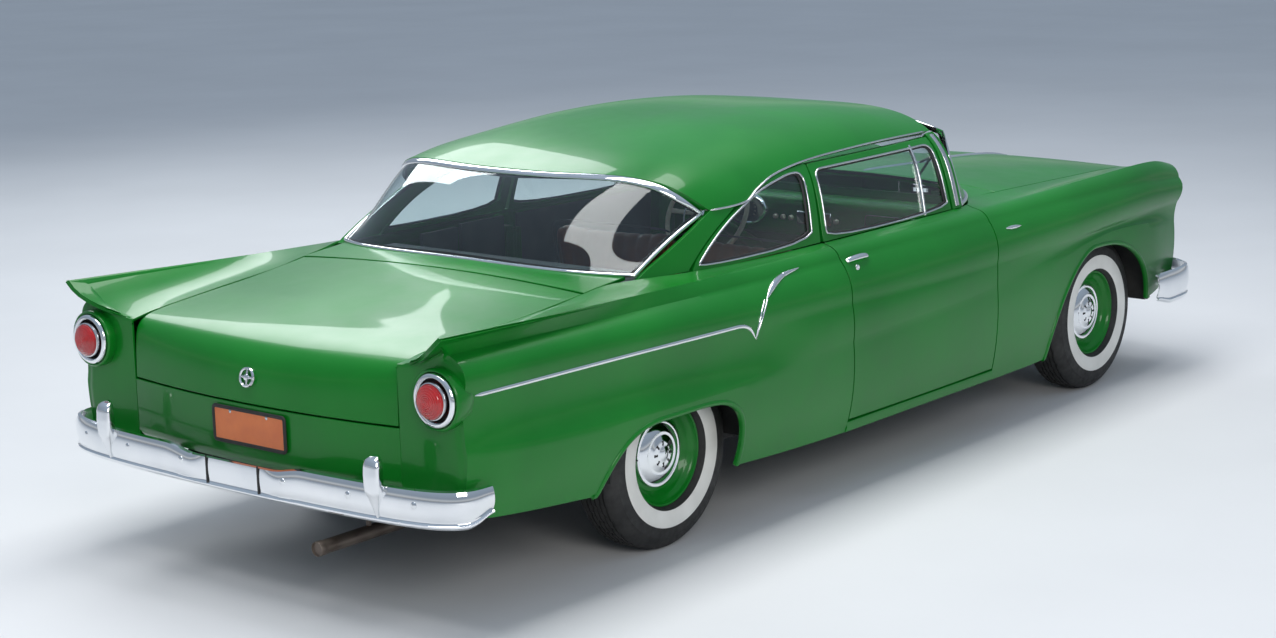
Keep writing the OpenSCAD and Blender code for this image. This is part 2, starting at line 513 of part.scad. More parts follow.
// The radiator core and the tank above it
module radiator() {
    color("black") {
        translate([-330, -2205 * ky, 430]) cube([660, 60, 420 * kz]);
        translate([-330, -2240 * ky, 420.3]) cube([60, 60, 60]);
        translate([270, -2240 * ky, 420.3]) cube([60, 60, 60]);
    }
}
pipe_x = -300;
pipe_z = 216;
pipe_r = 24;
module exhaust_and_tank() {
    color("gray") {
        translate([pipe_x, -1230 * ky, pipe_z]) rotate([-90, 0, 0]) cylinder(r = pipe_r, h = 3690 * ky);
        translate([pipe_x, 60 * ky, pipe_z]) rotate([-90, 0, 0]) cylinder(r = 60, h = 560 * ky);
        translate([pipe_x - 6, 2224 * ky, pipe_z + 15]) cube([12, 12, 350 - pipe_z - 15.3]);
        translate([pipe_x - 6, -500 * ky, pipe_z + 15]) cube([12, 20, floor_z - sheet - pipe_z - 15.3]);
        translate([-260, rear_axle + 290, 300]) cube([560, 440, kick_top - 300]);
    }
}
kingpin_x = track_front / 2 - 92;
// A tapered control arm from the frame out to the kingpin
module arm(x, w, z, t) {
    translate([0, front_axle, z]) linear_extrude(t)
        polygon([[x, -w], [kingpin_x - 26.3, -24], [kingpin_x - 26.3, 24], [x, w]]);
}
module front_suspension() {
    color("black") {
        both() {
            arm(300, 150, 205, 34);
            arm(480, 90, 488, 28);
            translate([545, front_axle, 238.5]) cylinder(r = 46, h = 250);
        }
        translate([-399.7, front_axle - 80, 290]) cube([799.4, 160, engine_low - 0.3 - 290]);
        translate([-301, front_axle - 80, 205]) cube([602, 160, 86]);
    }
}
drum_r = 145;
module knuckle() {
    color("black") {
        translate([kingpin_x, front_axle, 198]) cylinder(r = 26, h = 325);
        translate([kingpin_x + 10, front_axle, tyre_radius]) rotate([0, 90, 0])
            cylinder(r = drum_r, h = 21.7);
    }
}
module rear_axle_beam() {
    color("black") {
        translate([-track_rear / 2 + 70, rear_axle, tyre_radius]) rotate([0, 90, 0])
            cylinder(r = 40, h = track_rear - 140);
        translate([-85, rear_axle, tyre_radius]) rotate([0, 90, 0]) cylinder(r = 125, h = 170);
        both() {
            translate([500, rear_axle - 588, tyre_radius - 75]) cube([56, 1138, 40]);
            translate([505, rear_axle + 500, tyre_radius - 36]) cube([46, 40, kick_top - tyre_radius + 36]);
            translate([505, rear_axle - 598, rail_top - 15.7]) cube([46, 30, 15.4]);
            translate([track_rear / 2 - 82, rear_axle, tyre_radius]) rotate([0, 90, 0])
                cylinder(r = drum_r, h = 21.7);
        }
    }
}

// ---- Front and rear ends ----
grille_low = 610 * kz;
grille_high = 806 * kz;
module front_panel() {
    color(paint) difference() {
        translate([-wall_x + 1, nose_y - 12, 430 * kz]) cube([2 * wall_x - 2, 16, 418 * kz]);
        translate([-575 * kx, nose_y - 20, grille_low]) cube([1150 * kx, 60, grille_high - grille_low]);
    }
}
module end_panels() {
    front_panel();
    rear_panel();
}
module grille() {
    color("silver") {
        difference() {
            translate([-592 * kx, nose_y - 24, grille_low - 16])
                cube([1184 * kx, 11.7, grille_high - grille_low + 32]);
            translate([-568 * kx, nose_y - 30, grille_low + 8])
                cube([1136 * kx, 30, grille_high - grille_low - 16]);
        }
        for (i = [1:5]) translate([-574 * kx, nose_y - 8, lerp(grille_low, grille_high, i / 6) - 4])
            cube([1148 * kx, 10, 8]);
        for (i = [-9:9]) translate([i * 60 * kx - 3, nose_y - 11, grille_low + 0.3])
            cube([6, 16, grille_high - grille_low - 0.6]);
        translate([-574.7 * kx, nose_y - 13, grille_low + 0.3]) cube([9, 12, grille_high - grille_low - 0.6]);
        translate([565.7 * kx, nose_y - 13, grille_low + 0.3]) cube([9, 12, grille_high - grille_low - 0.6]);
    }
}
lamp_x = 748 * kx;
lamp_z = 768 * kz;
module headlights() {
    color("silver") both() translate([lamp_x, nose_y - 0.5, lamp_z]) rotate([90, 0, 0])
        rotate_extrude($fn = 64)
            polygon([[0, 0], [74, 0], [83, 16], [83, 26], [79, 24], [77, 14], [58, 22], [30, 27], [0, 29]]);
}
tail_lamp_x = 838 * kx;
tail_lamp_z = 777 * kz;
module taillights() {
    color("red") both() translate([tail_lamp_x, tail_y + 0.8, tail_lamp_z]) rotate([-90, 0, 0])
        rotate_extrude($fn = 64) polygon([[0, 0], [100, 0], [100, 26], [92, 46], [84, 46], [78, 40], [66, 40],
            [62, 50], [48, 66], [26, 75], [0, 78]]);
}
// Bumper blade: swept along a plan path of [x, y] with a bowed section, low z to high z
front_path = [[0, -2536], [160, -2535], [330, -2530], [500, -2518], [640, -2500], [760, -2472], [850, -2434],
    [910, -2384], [944, -2318], [958, -2240], [962, -2130], [963, -2012]];
rear_path = [[0, 2544], [160, 2543], [330, 2540], [500, 2533], [640, 2523], [770, 2507], [860, 2484],
    [922, 2448], [953, 2398], [962, 2330]];
function bumper_rows(path, low, high, dip) = [for (q = path) let (x = q[0] * kx, y = q[1] * ky,
    d = dip * (1 - smooth((q[0] - 180) / 160)), z0 = low * kz, z1 = (high - d) * kz)
    [for (k = [0:6]) let (t = k / 6, b = [-14, 5, 11, 14, 13, 8, -8][k])
        [x, y, lerp(z0, z1, t), b]]];
// Each row's points pushed outward along the plan normal
function pushed(R, sgn) = let (m = len(R) - 1) [for (i = [0:m]) let (a = R[max(i - 1, 0)][0],
    b = R[min(i + 1, m)][0], n = i == 0 ? [0, sgn] : unit([b[1] - a[1], a[0] - b[0]] * -sgn)) [for (p = R[i])
        [p[0] + n[0] * p[3], p[1] + n[1] * p[3], p[2]]]];
function mirrored(G) = [for (i = [len(G) - 1:-1:1]) [for (p = G[i]) [-p[0], p[1], p[2]]]];
module front_bumper() {
    G = pushed(bumper_rows(front_path, 322, 468, 26), -1);
    color("silver") shell(concat(mirrored(G), G), 10);
    color("silver") both() guard(430 * kx, guard_r - overall_length / 2, 380 * kz);
    color("black") both() translate([405, -2520 * ky, 345]) cube([60, -0.3 - 2290 * ky + 2520 * ky, 50]);
}
module rear_bumper() {
    G = pushed(bumper_rows(rear_path, 380, 504, 26), 1);
    full = concat(mirrored(G), G);
    color("silver") shell([for (i = [len(full) - 1:-1:0]) full[i]], 10);
    color("silver") both() guard(655 * kx, overall_length / 2 - guard_r, 446 * kz);
    color("black") both() translate([405, 2290.3 * ky, 400]) cube([60, 238 * ky, 16]);
}
guard_r = 36;
module guard(x, y, z) {
    translate([x, y, z]) {
        cylinder(r = guard_r - 6, h = 120);
        translate([0, 0, 120]) sphere(r = guard_r - 6);
        cylinder(r = guard_r, h = 30);
    }
}
module licence_plate() {
    color("orange") translate([-178, 2457.5 * ky, 514]) cube([356, 6, 126]);
}
wheel_at = [365 * kx, -470 * ky, 850 * kz];
module dashboard() {
    color(paint) difference() {
        translate([-715.5 * kx, -900 * ky, 730 * kz]) cube([1431 * kx, 150, 180 * kz]);
        translate([-650 * kx, -800 * ky, 700 * kz]) cube([1300 * kx, 60, 100 * kz]);
    }
    color(paint) translate(wheel_at) rotate([-62, 0, 0]) translate([0, 0, -400]) cylinder(r = 26, h = 350);
    color(paint) translate([-680 * kx, -985 * ky + 18.3, 760 * kz]) cube([1360 * kx, 85 * ky - 17, 60]);
}
module steering_wheel() {
    color("ivory") translate(wheel_at) rotate([-62, 0, 0]) {
        rotate_extrude() translate([202, 0]) circle(r = 11);
        translate([0, 0, -49.6]) cylinder(r = 26, h = 30);
        translate([0, 0, -25]) cylinder(r = 48, h = 28);
        for (a = [0, 120, 240]) rotate(a) translate([0, -10, -16]) cube([198, 20, 10]);
    }
}
seat_over_tunnel = floor_z + tunnel_h - sheet + 12;
// A seat half of width w from x: cushion and back in one side outline
module seat_half(x, w, outline) {
    both() bar(x, w, outline);
}
module front_seat() {
    z0 = seat_over_tunnel;
    color("saddlebrown") {
        both() translate([160, -330 * ky, floor_z + 0.3]) cube([500, 420, z0 - floor_z - 0.6]);
        seat_half(8, 672, [[-400 * ky, z0], [110 * ky, z0], [180 * ky, z0 + 250], [225 * ky, z0 + 500],
            [130 * ky, z0 + 520], [60 * ky, z0 + 190], [-390 * ky, z0 + 180]]);
    }
}
module rear_seat() {
    z0 = upper_floor + 0.6;
    color("saddlebrown") {
        both() translate([125, 480 * ky, floor_z + 0.3])
            cube([560, riser_y - 480 * ky - 1, z0 - floor_z - 0.6]);
        seat_half(4, 566, [[500 * ky, z0], [990 * ky, z0], [1095 * ky, z0 + 370], [1000 * ky, z0 + 390],
            [860 * ky, z0 + 100], [490 * ky, z0 + 90]]);
        both() translate([571, 500 * ky, z0]) cube([116, 350 * ky, 90]);
    }
}
module tyre(x, y) {
    color("black") translate([x, y, tyre_radius]) rotate([0, 90, 0]) rotate_extrude($fn = 96)
        translate([0, -tyre_width / 2]) polygon([[rim_radius - 4, 28], [rim_radius + 6, 10],
            [rim_radius + 60, 0], [tyre_radius - 45, 6], [tyre_radius - 12, 26], [tyre_radius, 50],
            [tyre_radius, tyre_width - 50], [tyre_radius - 12, tyre_width - 26],
            [tyre_radius - 45, tyre_width - 6], [rim_radius + 60, tyre_width],
            [rim_radius + 6, tyre_width - 10], [rim_radius - 4, tyre_width - 28]]);
}
module wheel(x, y, side) {
    color(paint) translate([x, y, tyre_radius]) rotate([0, 90 * side, 0]) rotate_extrude($fn = 96)
        polygon([[0, -60], [drum_r, -60], [drum_r, -20], [rim_radius - 30, -20],
            [rim_radius - 30, -66], [rim_radius - 4.3, -66], [rim_radius - 4.3, 66],
            [rim_radius - 30, 66], [rim_radius - 40, 30], [cap_radius, 20],
            [cap_radius, 34], [cap_radius * 0.6, 56], [0, 60]]);
}

module body_paint() { color(paint) children(); }
body_paint() roof();
body_paint() both() pillars();
body_paint() both() sail_panels();
body_paint() both() quarter();  // quarter_panels
body_paint() both() fender();  // fenders
body_paint() hood();
body_paint() deck_lid();
body_paint() cowl_panels();
body_paint() end_panels();
rockers();
body_paint() door();  // door_left
body_paint() mirror([1, 0, 0]) door();  // door_right
door_glass();  // door_glass_left
mirror([1, 0, 0]) door_glass();  // door_glass_right
fixed_glass();
floor_pan();
firewall();
inner_panels();
wheelhouses();
frame_rails();
engine();
exhaust_and_tank();
front_suspension();
rear_axle_beam();  // rear_axle
grille();
front_bumper();
rear_bumper();
headlights();
taillights();
licence_plate();
dashboard();
steering_wheel();
front_seat();
rear_seat();
knuckle();  // knuckle_left
mirror([1, 0, 0]) knuckle();  // knuckle_right
wheel(track_front / 2, front_axle, 1);  // wheel_front_left
wheel(-track_front / 2, front_axle, -1);  // wheel_front_right
wheel(track_rear / 2, rear_axle, 1);  // wheel_rear_left
wheel(-track_rear / 2, rear_axle, -1);  // wheel_rear_right
tyre(track_front / 2, front_axle);  // tyre_front_left
tyre(-track_front / 2, front_axle);  // tyre_front_right
tyre(track_rear / 2, rear_axle);  // tyre_rear_left
tyre(-track_rear / 2, rear_axle);  // tyre_rear_right
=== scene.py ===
# The looks of a 1950s two-door car with tail fins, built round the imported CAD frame.
# Shapes are worked out in millimetres, in the row frame, and become metres in build().
import math

import bmesh
import bpy
import numpy as np
from mathutils import Matrix, Vector


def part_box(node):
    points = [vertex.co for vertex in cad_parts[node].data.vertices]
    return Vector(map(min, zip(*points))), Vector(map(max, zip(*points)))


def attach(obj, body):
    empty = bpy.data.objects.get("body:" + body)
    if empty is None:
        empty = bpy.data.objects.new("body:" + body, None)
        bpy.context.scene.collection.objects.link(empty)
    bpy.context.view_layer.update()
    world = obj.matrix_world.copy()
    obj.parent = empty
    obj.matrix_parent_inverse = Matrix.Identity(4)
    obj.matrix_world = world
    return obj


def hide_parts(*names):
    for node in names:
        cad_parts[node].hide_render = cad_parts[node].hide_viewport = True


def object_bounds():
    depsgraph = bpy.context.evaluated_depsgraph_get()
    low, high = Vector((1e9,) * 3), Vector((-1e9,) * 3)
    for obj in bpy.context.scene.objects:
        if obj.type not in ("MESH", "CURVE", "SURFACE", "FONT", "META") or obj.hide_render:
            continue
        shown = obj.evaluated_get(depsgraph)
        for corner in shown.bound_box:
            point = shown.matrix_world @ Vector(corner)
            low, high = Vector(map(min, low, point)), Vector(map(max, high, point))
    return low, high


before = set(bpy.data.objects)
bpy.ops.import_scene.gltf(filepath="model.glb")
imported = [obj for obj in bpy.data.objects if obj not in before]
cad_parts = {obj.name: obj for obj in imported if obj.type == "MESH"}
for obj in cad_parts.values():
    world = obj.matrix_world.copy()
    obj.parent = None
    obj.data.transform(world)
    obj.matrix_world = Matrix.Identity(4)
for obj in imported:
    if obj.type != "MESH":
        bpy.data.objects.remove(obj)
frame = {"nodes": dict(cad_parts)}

MM = 0.001
CAD_LOW, CAD_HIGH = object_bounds()


def box(node):
    low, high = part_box(node)
    return np.array(low) / MM, np.array(high) / MM


# ---- Sizes taken from the frame ----
SIZE = (np.array(CAD_HIGH) - np.array(CAD_LOW)) / MM
KX, KY, KZ = SIZE[0] / 1954, SIZE[1] / 5120, SIZE[2] / 1400
tyre_low, tyre_high = box("tyre_front_left")
TYRE_R = (tyre_high[2] - tyre_low[2]) / 2
TYRE_W = tyre_high[0] - tyre_low[0]
FRONT_AXLE = (tyre_low[1] + tyre_high[1]) / 2
FRONT_X = (tyre_low[0] + tyre_high[0]) / 2
rear_low, rear_high = box("tyre_rear_left")
REAR_AXLE = (rear_low[1] + rear_high[1]) / 2
REAR_X = (rear_low[0] + rear_high[0]) / 2
wheel_low, wheel_high = box("wheel_front_left")
RIM_R = (wheel_high[2] - wheel_low[2]) / 2
NOSE_Y = -2372 * KY
TAIL_Y = 2405 * KY
DOOR_FRONT = -700 * KY
DOOR_REAR = 330 * KY
HOOD_REAR = -1090 * KY
DECK_FRONT = 1560 * KY
BELT_Z = 950 * KZ
GAP = 6
SKIN = 14
LID_SKIN = 24
SIDE_SKIN = 8
GLASS_SKIN = 5
BUMPER_SKIN = 7
CLOTH_SKIN = 3


# ---- Materials ----
def nodes_of(name):
    mat = bpy.data.materials.new(name)
    mat.use_nodes = True
    tree = mat.node_tree
    return mat, tree, tree.nodes["Principled BSDF"]


def noise(tree, scale, detail=4.0, stretch=None):
    coord = tree.nodes.new("ShaderNodeTexCoord")
    tex = tree.nodes.new("ShaderNodeTexNoise")
    tex.inputs["Scale"].default_value = scale
    tex.inputs["Detail"].default_value = detail
    tex.inputs["Roughness"].default_value = 0.5
    if stretch:
        mapping = tree.nodes.new("ShaderNodeMapping")
        mapping.inputs["Scale"].default_value = stretch
        tree.links.new(coord.outputs["Object"], mapping.inputs["Vector"])
        tree.links.new(mapping.outputs["Vector"], tex.inputs["Vector"])
    else:
        tree.links.new(coord.outputs["Object"], tex.inputs["Vector"])
    return tex.outputs["Fac"]


def spread(tree, value, low, high):
    """The middle of a noise value's range, stretched to run from low to high."""
    node = tree.nodes.new("ShaderNodeMapRange")
    node.inputs["From Min"].default_value = 0.3
    node.inputs["From Max"].default_value = 0.7
    node.inputs["To Min"].default_value = low
    node.inputs["To Max"].default_value = high
    tree.links.new(value, node.inputs["Value"])
    return node.outputs["Result"]


def ramp(tree, value, *stops):
    node = tree.nodes.new("ShaderNodeValToRGB")
    elements = node.color_ramp.elements
    while len(elements) < len(stops):
        elements.new(0.5)
    for element, (place, colour) in zip(elements, stops):
        element.position = place
        element.color = (*colour, 1)
    tree.links.new(value, node.inputs["Fac"])
    return node.outputs["Color"]


def bump(tree, height, strength, distance):
    node = tree.nodes.new("ShaderNodeBump")
    node.inputs["Strength"].default_value = strength
    node.inputs["Distance"].default_value = distance
    tree.links.new(height, node.inputs["Height"])
    return node.outputs["Normal"]


def finish(name, dark, light, rough, patch=3.0, grain=None, metallic=0.0, coat=0.0, stretch=None, **more):
    """A surface whose colour drifts from dark to light in patches, with its roughness and a grain bump.
    grain is (scale, strength, distance in metres); more sets the shader's own sockets."""
    mat, tree, shader = nodes_of(name)
    links = tree.links
    links.new(ramp(tree, noise(tree, patch, 3), (0.3, dark), (0.7, light)), shader.inputs["Base Color"])
    links.new(spread(tree, noise(tree, patch * 4, 5), rough[0], rough[1]), shader.inputs["Roughness"])
    shader.inputs["Metallic"].default_value = metallic
    shader.inputs["Coat Weight"].default_value = coat
    shader.inputs["Coat Roughness"].default_value = 0.03
    for socket, value in more.items():
        shader.inputs[socket.replace("_", " ")].default_value = value
    if grain:
        links.new(bump(tree, noise(tree, grain[0], 3, stretch), grain[1], grain[2]),
                  shader.inputs["Normal"])
    return mat


PAINT = finish("green_enamel", (0.002, 0.135, 0.010), (0.004, 0.185, 0.014), (0.30, 0.38), 1.6,
               (900, 0.02, 0.0002), coat=0.30, Specular_IOR_Level=0.22)
PAINT_INSIDE = finish("inner_enamel", (0.010, 0.10, 0.025), (0.014, 0.13, 0.03), (0.35, 0.5), 3,
                      (600, 0.1, 0.0005))
CHROME = finish("chrome", (0.80, 0.82, 0.84), (0.90, 0.91, 0.92), (0.04, 0.10), 5, (260, 0.02, 0.0004), 1.0)
STAINLESS = finish("brushed_trim", (0.62, 0.63, 0.64), (0.75, 0.76, 0.77), (0.14, 0.24), 6,
                   (900, 0.06, 0.0003), 1.0, stretch=(1, 0.05, 1))
BLACK_STEEL = finish("chassis_black", (0.010, 0.010, 0.010), (0.028, 0.025, 0.022), (0.45, 0.75), 6,
                     (180, 0.25, 0.001))
CAST_IRON = finish("cast_block", (0.020, 0.030, 0.022), (0.045, 0.055, 0.045), (0.5, 0.75), 7,
                   (150, 0.45, 0.0015), 0.3)
UNDERSEAL = finish("underseal", (0.016, 0.017, 0.017), (0.034, 0.033, 0.030), (0.75, 0.95), 9,
                   (220, 0.7, 0.002))
EXHAUST = finish("exhaust_steel", (0.10, 0.075, 0.06), (0.24, 0.20, 0.17), (0.4, 0.65), 9,
                 (300, 0.3, 0.0008), 0.8)
SEAL = finish("rubber_seal", (0.010, 0.010, 0.010), (0.020, 0.020, 0.020), (0.5, 0.7), 12,
              (700, 0.2, 0.0004))
TRIM_CLOTH = finish("trim_cloth", (0.045, 0.062, 0.075), (0.075, 0.095, 0.11), (0.75, 0.95), 8,
                    (1400, 0.6, 0.0006), Sheen_Weight=0.25)
SEAT_CLOTH = finish("seat_vinyl", (0.17, 0.045, 0.020), (0.26, 0.075, 0.032), (0.38, 0.55), 6,
                    (520, 0.45, 0.0006), Sheen_Weight=0.1)
HEADLINER = finish("headliner", (0.34, 0.35, 0.33), (0.44, 0.45, 0.42), (0.85, 0.95), 8,
                   (1600, 0.5, 0.0005), Sheen_Weight=0.2)
CARPET = finish("carpet", (0.018, 0.035, 0.025), (0.04, 0.065, 0.045), (0.9, 1.0), 20,
                (900, 1.0, 0.003), Sheen_Weight=0.3)
IVORY = finish("ivory_rim", (0.62, 0.58, 0.46), (0.74, 0.70, 0.58), (0.2, 0.3), 10, (500, 0.05, 0.0003),
               coat=0.6)
PLATE = finish("plate_enamel", (0.58, 0.12, 0.015), (0.70, 0.17, 0.025), (0.28, 0.42), 12,
               (500, 0.2, 0.0004), coat=0.4)
GLASS = finish("window_glass", (0.80, 0.90, 0.90), (0.86, 0.94, 0.93), (0.0, 0.015), 2, None,
               Transmission_Weight=1.0, IOR=1.45)
CLEAR_LENS = finish("lamp_glass", (0.88, 0.90, 0.90), (0.95, 0.96, 0.96), (0.02, 0.06), 8,
                    (120, 0.15, 0.001), Transmission_Weight=0.9, IOR=1.5)
RED_LENS = finish("red_lens", (0.40, 0.002, 0.002), (0.58, 0.005, 0.004), (0.06, 0.14), 20,
                  (160, 0.2, 0.001), coat=1.0, Transmission_Weight=0.15)
DIAL = finish("dial_face", (0.03, 0.03, 0.03), (0.06, 0.06, 0.055), (0.3, 0.4), 30, (400, 0.1, 0.0003))


def tyre_material():
    """Plain black rubber with a fine grain."""
    mat, tree, shader = nodes_of("tyre_rubber")
    links = tree.links
    colour = ramp(tree, noise(tree, 14, 5), (0.3, (0.012, 0.012, 0.012)), (0.7, (0.026, 0.025, 0.024)))
    links.new(colour, shader.inputs["Base Color"])
    links.new(spread(tree, noise(tree, 40, 4), 0.55, 0.8), shader.inputs["Roughness"])
    links.new(bump(tree, noise(tree, 600, 3), 0.25, 0.0006), shader.inputs["Normal"])
    return mat


TYRE = tyre_material()
WHITEWALL = finish("whitewall", (0.66, 0.65, 0.61), (0.78, 0.77, 0.73), (0.45, 0.6), 9, (500, 0.15, 0.0004))


# ---- Meshes ----
def build(name, points, faces, mat, sharp=38, bevel=0.0, segments=2, closed=True):
    """A mesh object from points in millimetres. Its normals are made to face outwards if it is closed."""
    mesh = bpy.data.meshes.new(name)
    mesh.from_pydata((np.asarray(points, float) * MM).tolist(), [], [tuple(f) for f in faces])
    bm = bmesh.new()
    bm.from_mesh(mesh)
    bmesh.ops.remove_doubles(bm, verts=bm.verts, dist=1e-5)
    bmesh.ops.dissolve_degenerate(bm, edges=bm.edges, dist=1e-6)
    if closed:
        bmesh.ops.recalc_face_normals(bm, faces=bm.faces)
    bm.to_mesh(mesh)
    bm.free()
    mesh.materials.append(mat)
    obj = bpy.data.objects.new(name, mesh)
    bpy.context.scene.collection.objects.link(obj)
    if bevel:
        edge = obj.modifiers.new("edge", "BEVEL")
        edge.width = bevel * MM
        edge.segments = segments
        edge.limit_method = "ANGLE"
        edge.angle_limit = math.radians(50)
        edge.harden_normals = False
    mesh.shade_smooth()
    mesh.set_sharp_from_angle(angle=math.radians(sharp))
    return obj


def ready(obj, body, slot, *nodes):
    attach(obj, body)
    if nodes:
        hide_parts(*nodes)
    return obj


def quads(rows, columns, start=0, wrap=False):
    """Faces of a grid; wrap joins the last column to the first."""
    i, j = np.meshgrid(np.arange(rows - 1), np.arange(columns - (0 if wrap else 1)), indexing="ij")
    a = start + i * columns + j
    b = start + i * columns + (j + 1) % columns
    return np.stack([a, b, b + columns, a + columns], -1).reshape(-1, 4).tolist()


def capped(rows, columns):
    """Faces of a tube of rows, with a cap on the first row and on the last."""
    first, last = tuple(range(columns)), tuple(range((rows - 1) * columns, rows * columns))
    return quads(rows, columns, wrap=True) + [first, last[::-1]]


def normals(grid):
    n = np.cross(np.gradient(grid, axis=0), np.gradient(grid, axis=1))
    return n / np.maximum(np.linalg.norm(n, axis=2, keepdims=True), 1e-9)


def between(outer, inner):
    """Points and faces of the closed solid between two grids."""
    rows, columns = outer.shape[:2]
    count = rows * columns
    faces = quads(rows, columns) + [f[::-1] for f in quads(rows, columns, count)]
    rim = [i * columns for i in range(rows)] + [(rows - 1) * columns + j for j in range(1, columns)]
    rim += [i * columns + columns - 1 for i in range(rows - 2, -1, -1)] + list(range(columns - 2, 0, -1))
    for a, b in zip(rim, rim[1:] + rim[:1]):
        faces.append((a, b, b + count, a + count))
    return np.concatenate([outer.reshape(-1, 3), inner.reshape(-1, 3)]), faces


def shell(name, grid, thickness, towards, mat, bevel=2.0, level=False):
    """A panel: the outer grid thickened on the side away from the direction towards."""
    n = normals(grid)
    if (n * np.array(towards, float)).sum() < 0:
        n = -n
    if level:
        for j in (0, -1):
            flat = n[:, j] * [1, 1, 0]
            long = np.linalg.norm(flat, axis=1, keepdims=True)
            n[:, j] = np.where(long > 0.2, flat / np.maximum(long, 1e-9), n[:, j])
    points, faces = between(grid, grid - n * thickness)
    return build(name, points, faces, mat, bevel=bevel)


MIRROR = np.array([-1.0, 1.0, 1.0])


def mirrored(points):
    return np.asarray(points, float) * MIRROR


def steps(*marks, gap=18.0):
    """Stations from the first mark to the last, through every mark, no further apart than gap."""
    out = []
    for a, b in zip(marks, marks[1:]):
        out += list(np.linspace(a, b, max(1, math.ceil(abs(b - a) / gap)), endpoint=False))
    return np.array(out + [marks[-1]])


# ---- Curves through tables, as in the CAD source ----
def curve(table, key, column=1):
    t = np.asarray(table, float)
    keys, values = t[:, 0], t[:, column]
    k = np.clip(np.asarray(key, float), keys[0], keys[-1])
    i = np.clip(np.searchsorted(keys, k, side="right") - 1, 0, len(keys) - 2)
    low, high = np.maximum(np.arange(len(keys)) - 1, 0), np.minimum(np.arange(len(keys)) + 1, len(keys) - 1)
    slope = (values[high] - values[low]) / (keys[high] - keys[low])
    h = keys[i + 1] - keys[i]
    u = (k - keys[i]) / h
    return ((2 * u**3 - 3 * u**2 + 1) * values[i] + (u**3 - 2 * u**2 + u) * h * slope[i]
            + (3 * u**2 - 2 * u**3) * values[i + 1] + (u**3 - u**2) * h * slope[i + 1])


def smooth(t):
    c = np.clip(t, 0, 1)
    return c * c * (3 - 2 * c)


def lerp(a, b, t):
    return a + (b - a) * t


def sized(*rows):
    return np.array(rows, float) * [KY, KX, KZ]


def stretched(*rows):
    return np.array(rows, float) * [KY, 1]


# Feature lines of the left body side: y, x, z
SIDE_LINES = [
    sized([-2372, 842, 405], [-2085, 882, 350], [-1250, 893, 250], [-1000, 895, 236],
          [300, 900, 238], [1000, 903, 262], [1800, 905, 330], [2250, 900, 372], [2405, 885, 400]),
    sized([-2372, 858, 650], [-2085, 900, 690], [-1690, 912, 708], [-1250, 922, 670],
          [-600, 935, 620], [300, 942, 590], [1000, 955, 564], [1400, 962, 566], [2000, 958, 582],
          [2270, 945, 598], [2405, 925, 610]),
    sized([-2372, 872, 742], [-1690, 910, 736], [-1200, 924, 728], [-400, 936, 722],
          [300, 938, 735], [919, 938, 748], [1766, 938, 782], [2370, 925, 787], [2405, 920, 788]),
    sized([-2372, 862, 850], [-2000, 888, 880], [-1200, 893, 890], [-400, 890, 893],
          [300, 885, 893], [900, 880, 893], [1500, 874, 900], [2000, 869, 908], [2405, 866, 915]),
    sized([-2372, 812, 908], [-2175, 836, 948], [-1690, 842, 948], [-1000, 838, 936],
          [-600, 838, 936], [300, 843, 938], [900, 850, 940], [1400, 862, 948], [2000, 886, 966],
          [2405, 906, 985]),
    sized([-2372, 640, 884], [-2175, 655, 908], [-1690, 670, 925], [-1090, 690, 943],
          [-900, 693, 948], [-850, 702, 949], [-700, 786, 950], [-400, 808, 950], [385, 808, 950],
          [900, 800, 955], [1150, 780, 962], [1320, 748, 967], [1450, 700, 962], [1560, 690, 949],
          [1700, 682, 930], [2000, 668, 905], [2300, 652, 878], [2405, 645, 862])]
SEAM = SIDE_LINES[5]
# How far each strip between two lines bulges outward
SIDE_BULGES = [
    stretched([-2372, 10], [-1200, 14], [300, 18], [1000, 16], [2000, 14], [2405, 10]),
    stretched([-2372, -4], [-1690, -8], [-1000, -2], [0, 6], [600, 4], [1000, -12], [1700, -18],
              [2405, -8]),
    stretched([-2372, 20], [-1690, 24], [-600, 19], [300, 18], [900, 22], [1500, 30], [2405, 36]),
    stretched([-2372, 12], [-1690, 10], [-600, 8], [300, 7], [1000, 3], [1700, -2], [2405, -4]),
    stretched([-2372, -4], [-1690, -10], [-1000, -5], [-600, 0], [385, 0], [1450, -6], [2000, -20],
              [2405, -24])]
FIN_REACH = 76
BROW_REACH = 34


def side_flat(y, s):
    """x and z of the left side at station y and strip coordinate s: 0 at the sill, 4 at the ridge."""
    y, s = np.broadcast_arrays(np.asarray(y, float), np.asarray(s, float))
    i = np.clip(np.floor(s).astype(int), 0, 4)
    t = s - i
    xs = np.stack([curve(line, y, 1) for line in SIDE_LINES])
    zs = np.stack([curve(line, y, 2) for line in SIDE_LINES])
    bulges = np.stack([curve(b, y) for b in SIDE_BULGES])

    def pick(stack, index):
        return np.take_along_axis(stack, index[None], 0)[0]

    ax, az, bx, bz = pick(xs, i), pick(zs, i), pick(xs, i + 1), pick(zs, i + 1)
    dx, dz = bx - ax, bz - az
    long = np.hypot(dx, dz)
    out = pick(bulges, i) * 4 * t * (1 - t)
    return ax + dx * t + dz / long * out, az + dz * t - dx / long * out


def side(y, s):
    y, s = np.broadcast_arrays(np.asarray(y, float), np.asarray(s, float))
    x, z = side_flat(y, s)
    fin = FIN_REACH * smooth((y / KY - 2120) / 285) * smooth(s - 3) * smooth((5 - s) / 0.9)
    brow = BROW_REACH * smooth((-2130 - y / KY) / 230) * smooth(s - 1.9)
    return np.stack([x, y + fin - brow, z], -1)


def strip_at(y, z):
    """The strip coordinate at height z on the side."""
    y, z = np.broadcast_arrays(np.asarray(y, float), np.asarray(z, float))
    low, high = np.zeros(y.shape), np.full(y.shape, 4.0)
    for _ in range(30):
        mid = (low + high) / 2
        under = side_flat(y, mid)[1] < z
        low, high = np.where(under, mid, low), np.where(under, high, mid)
    return (low + high) / 2


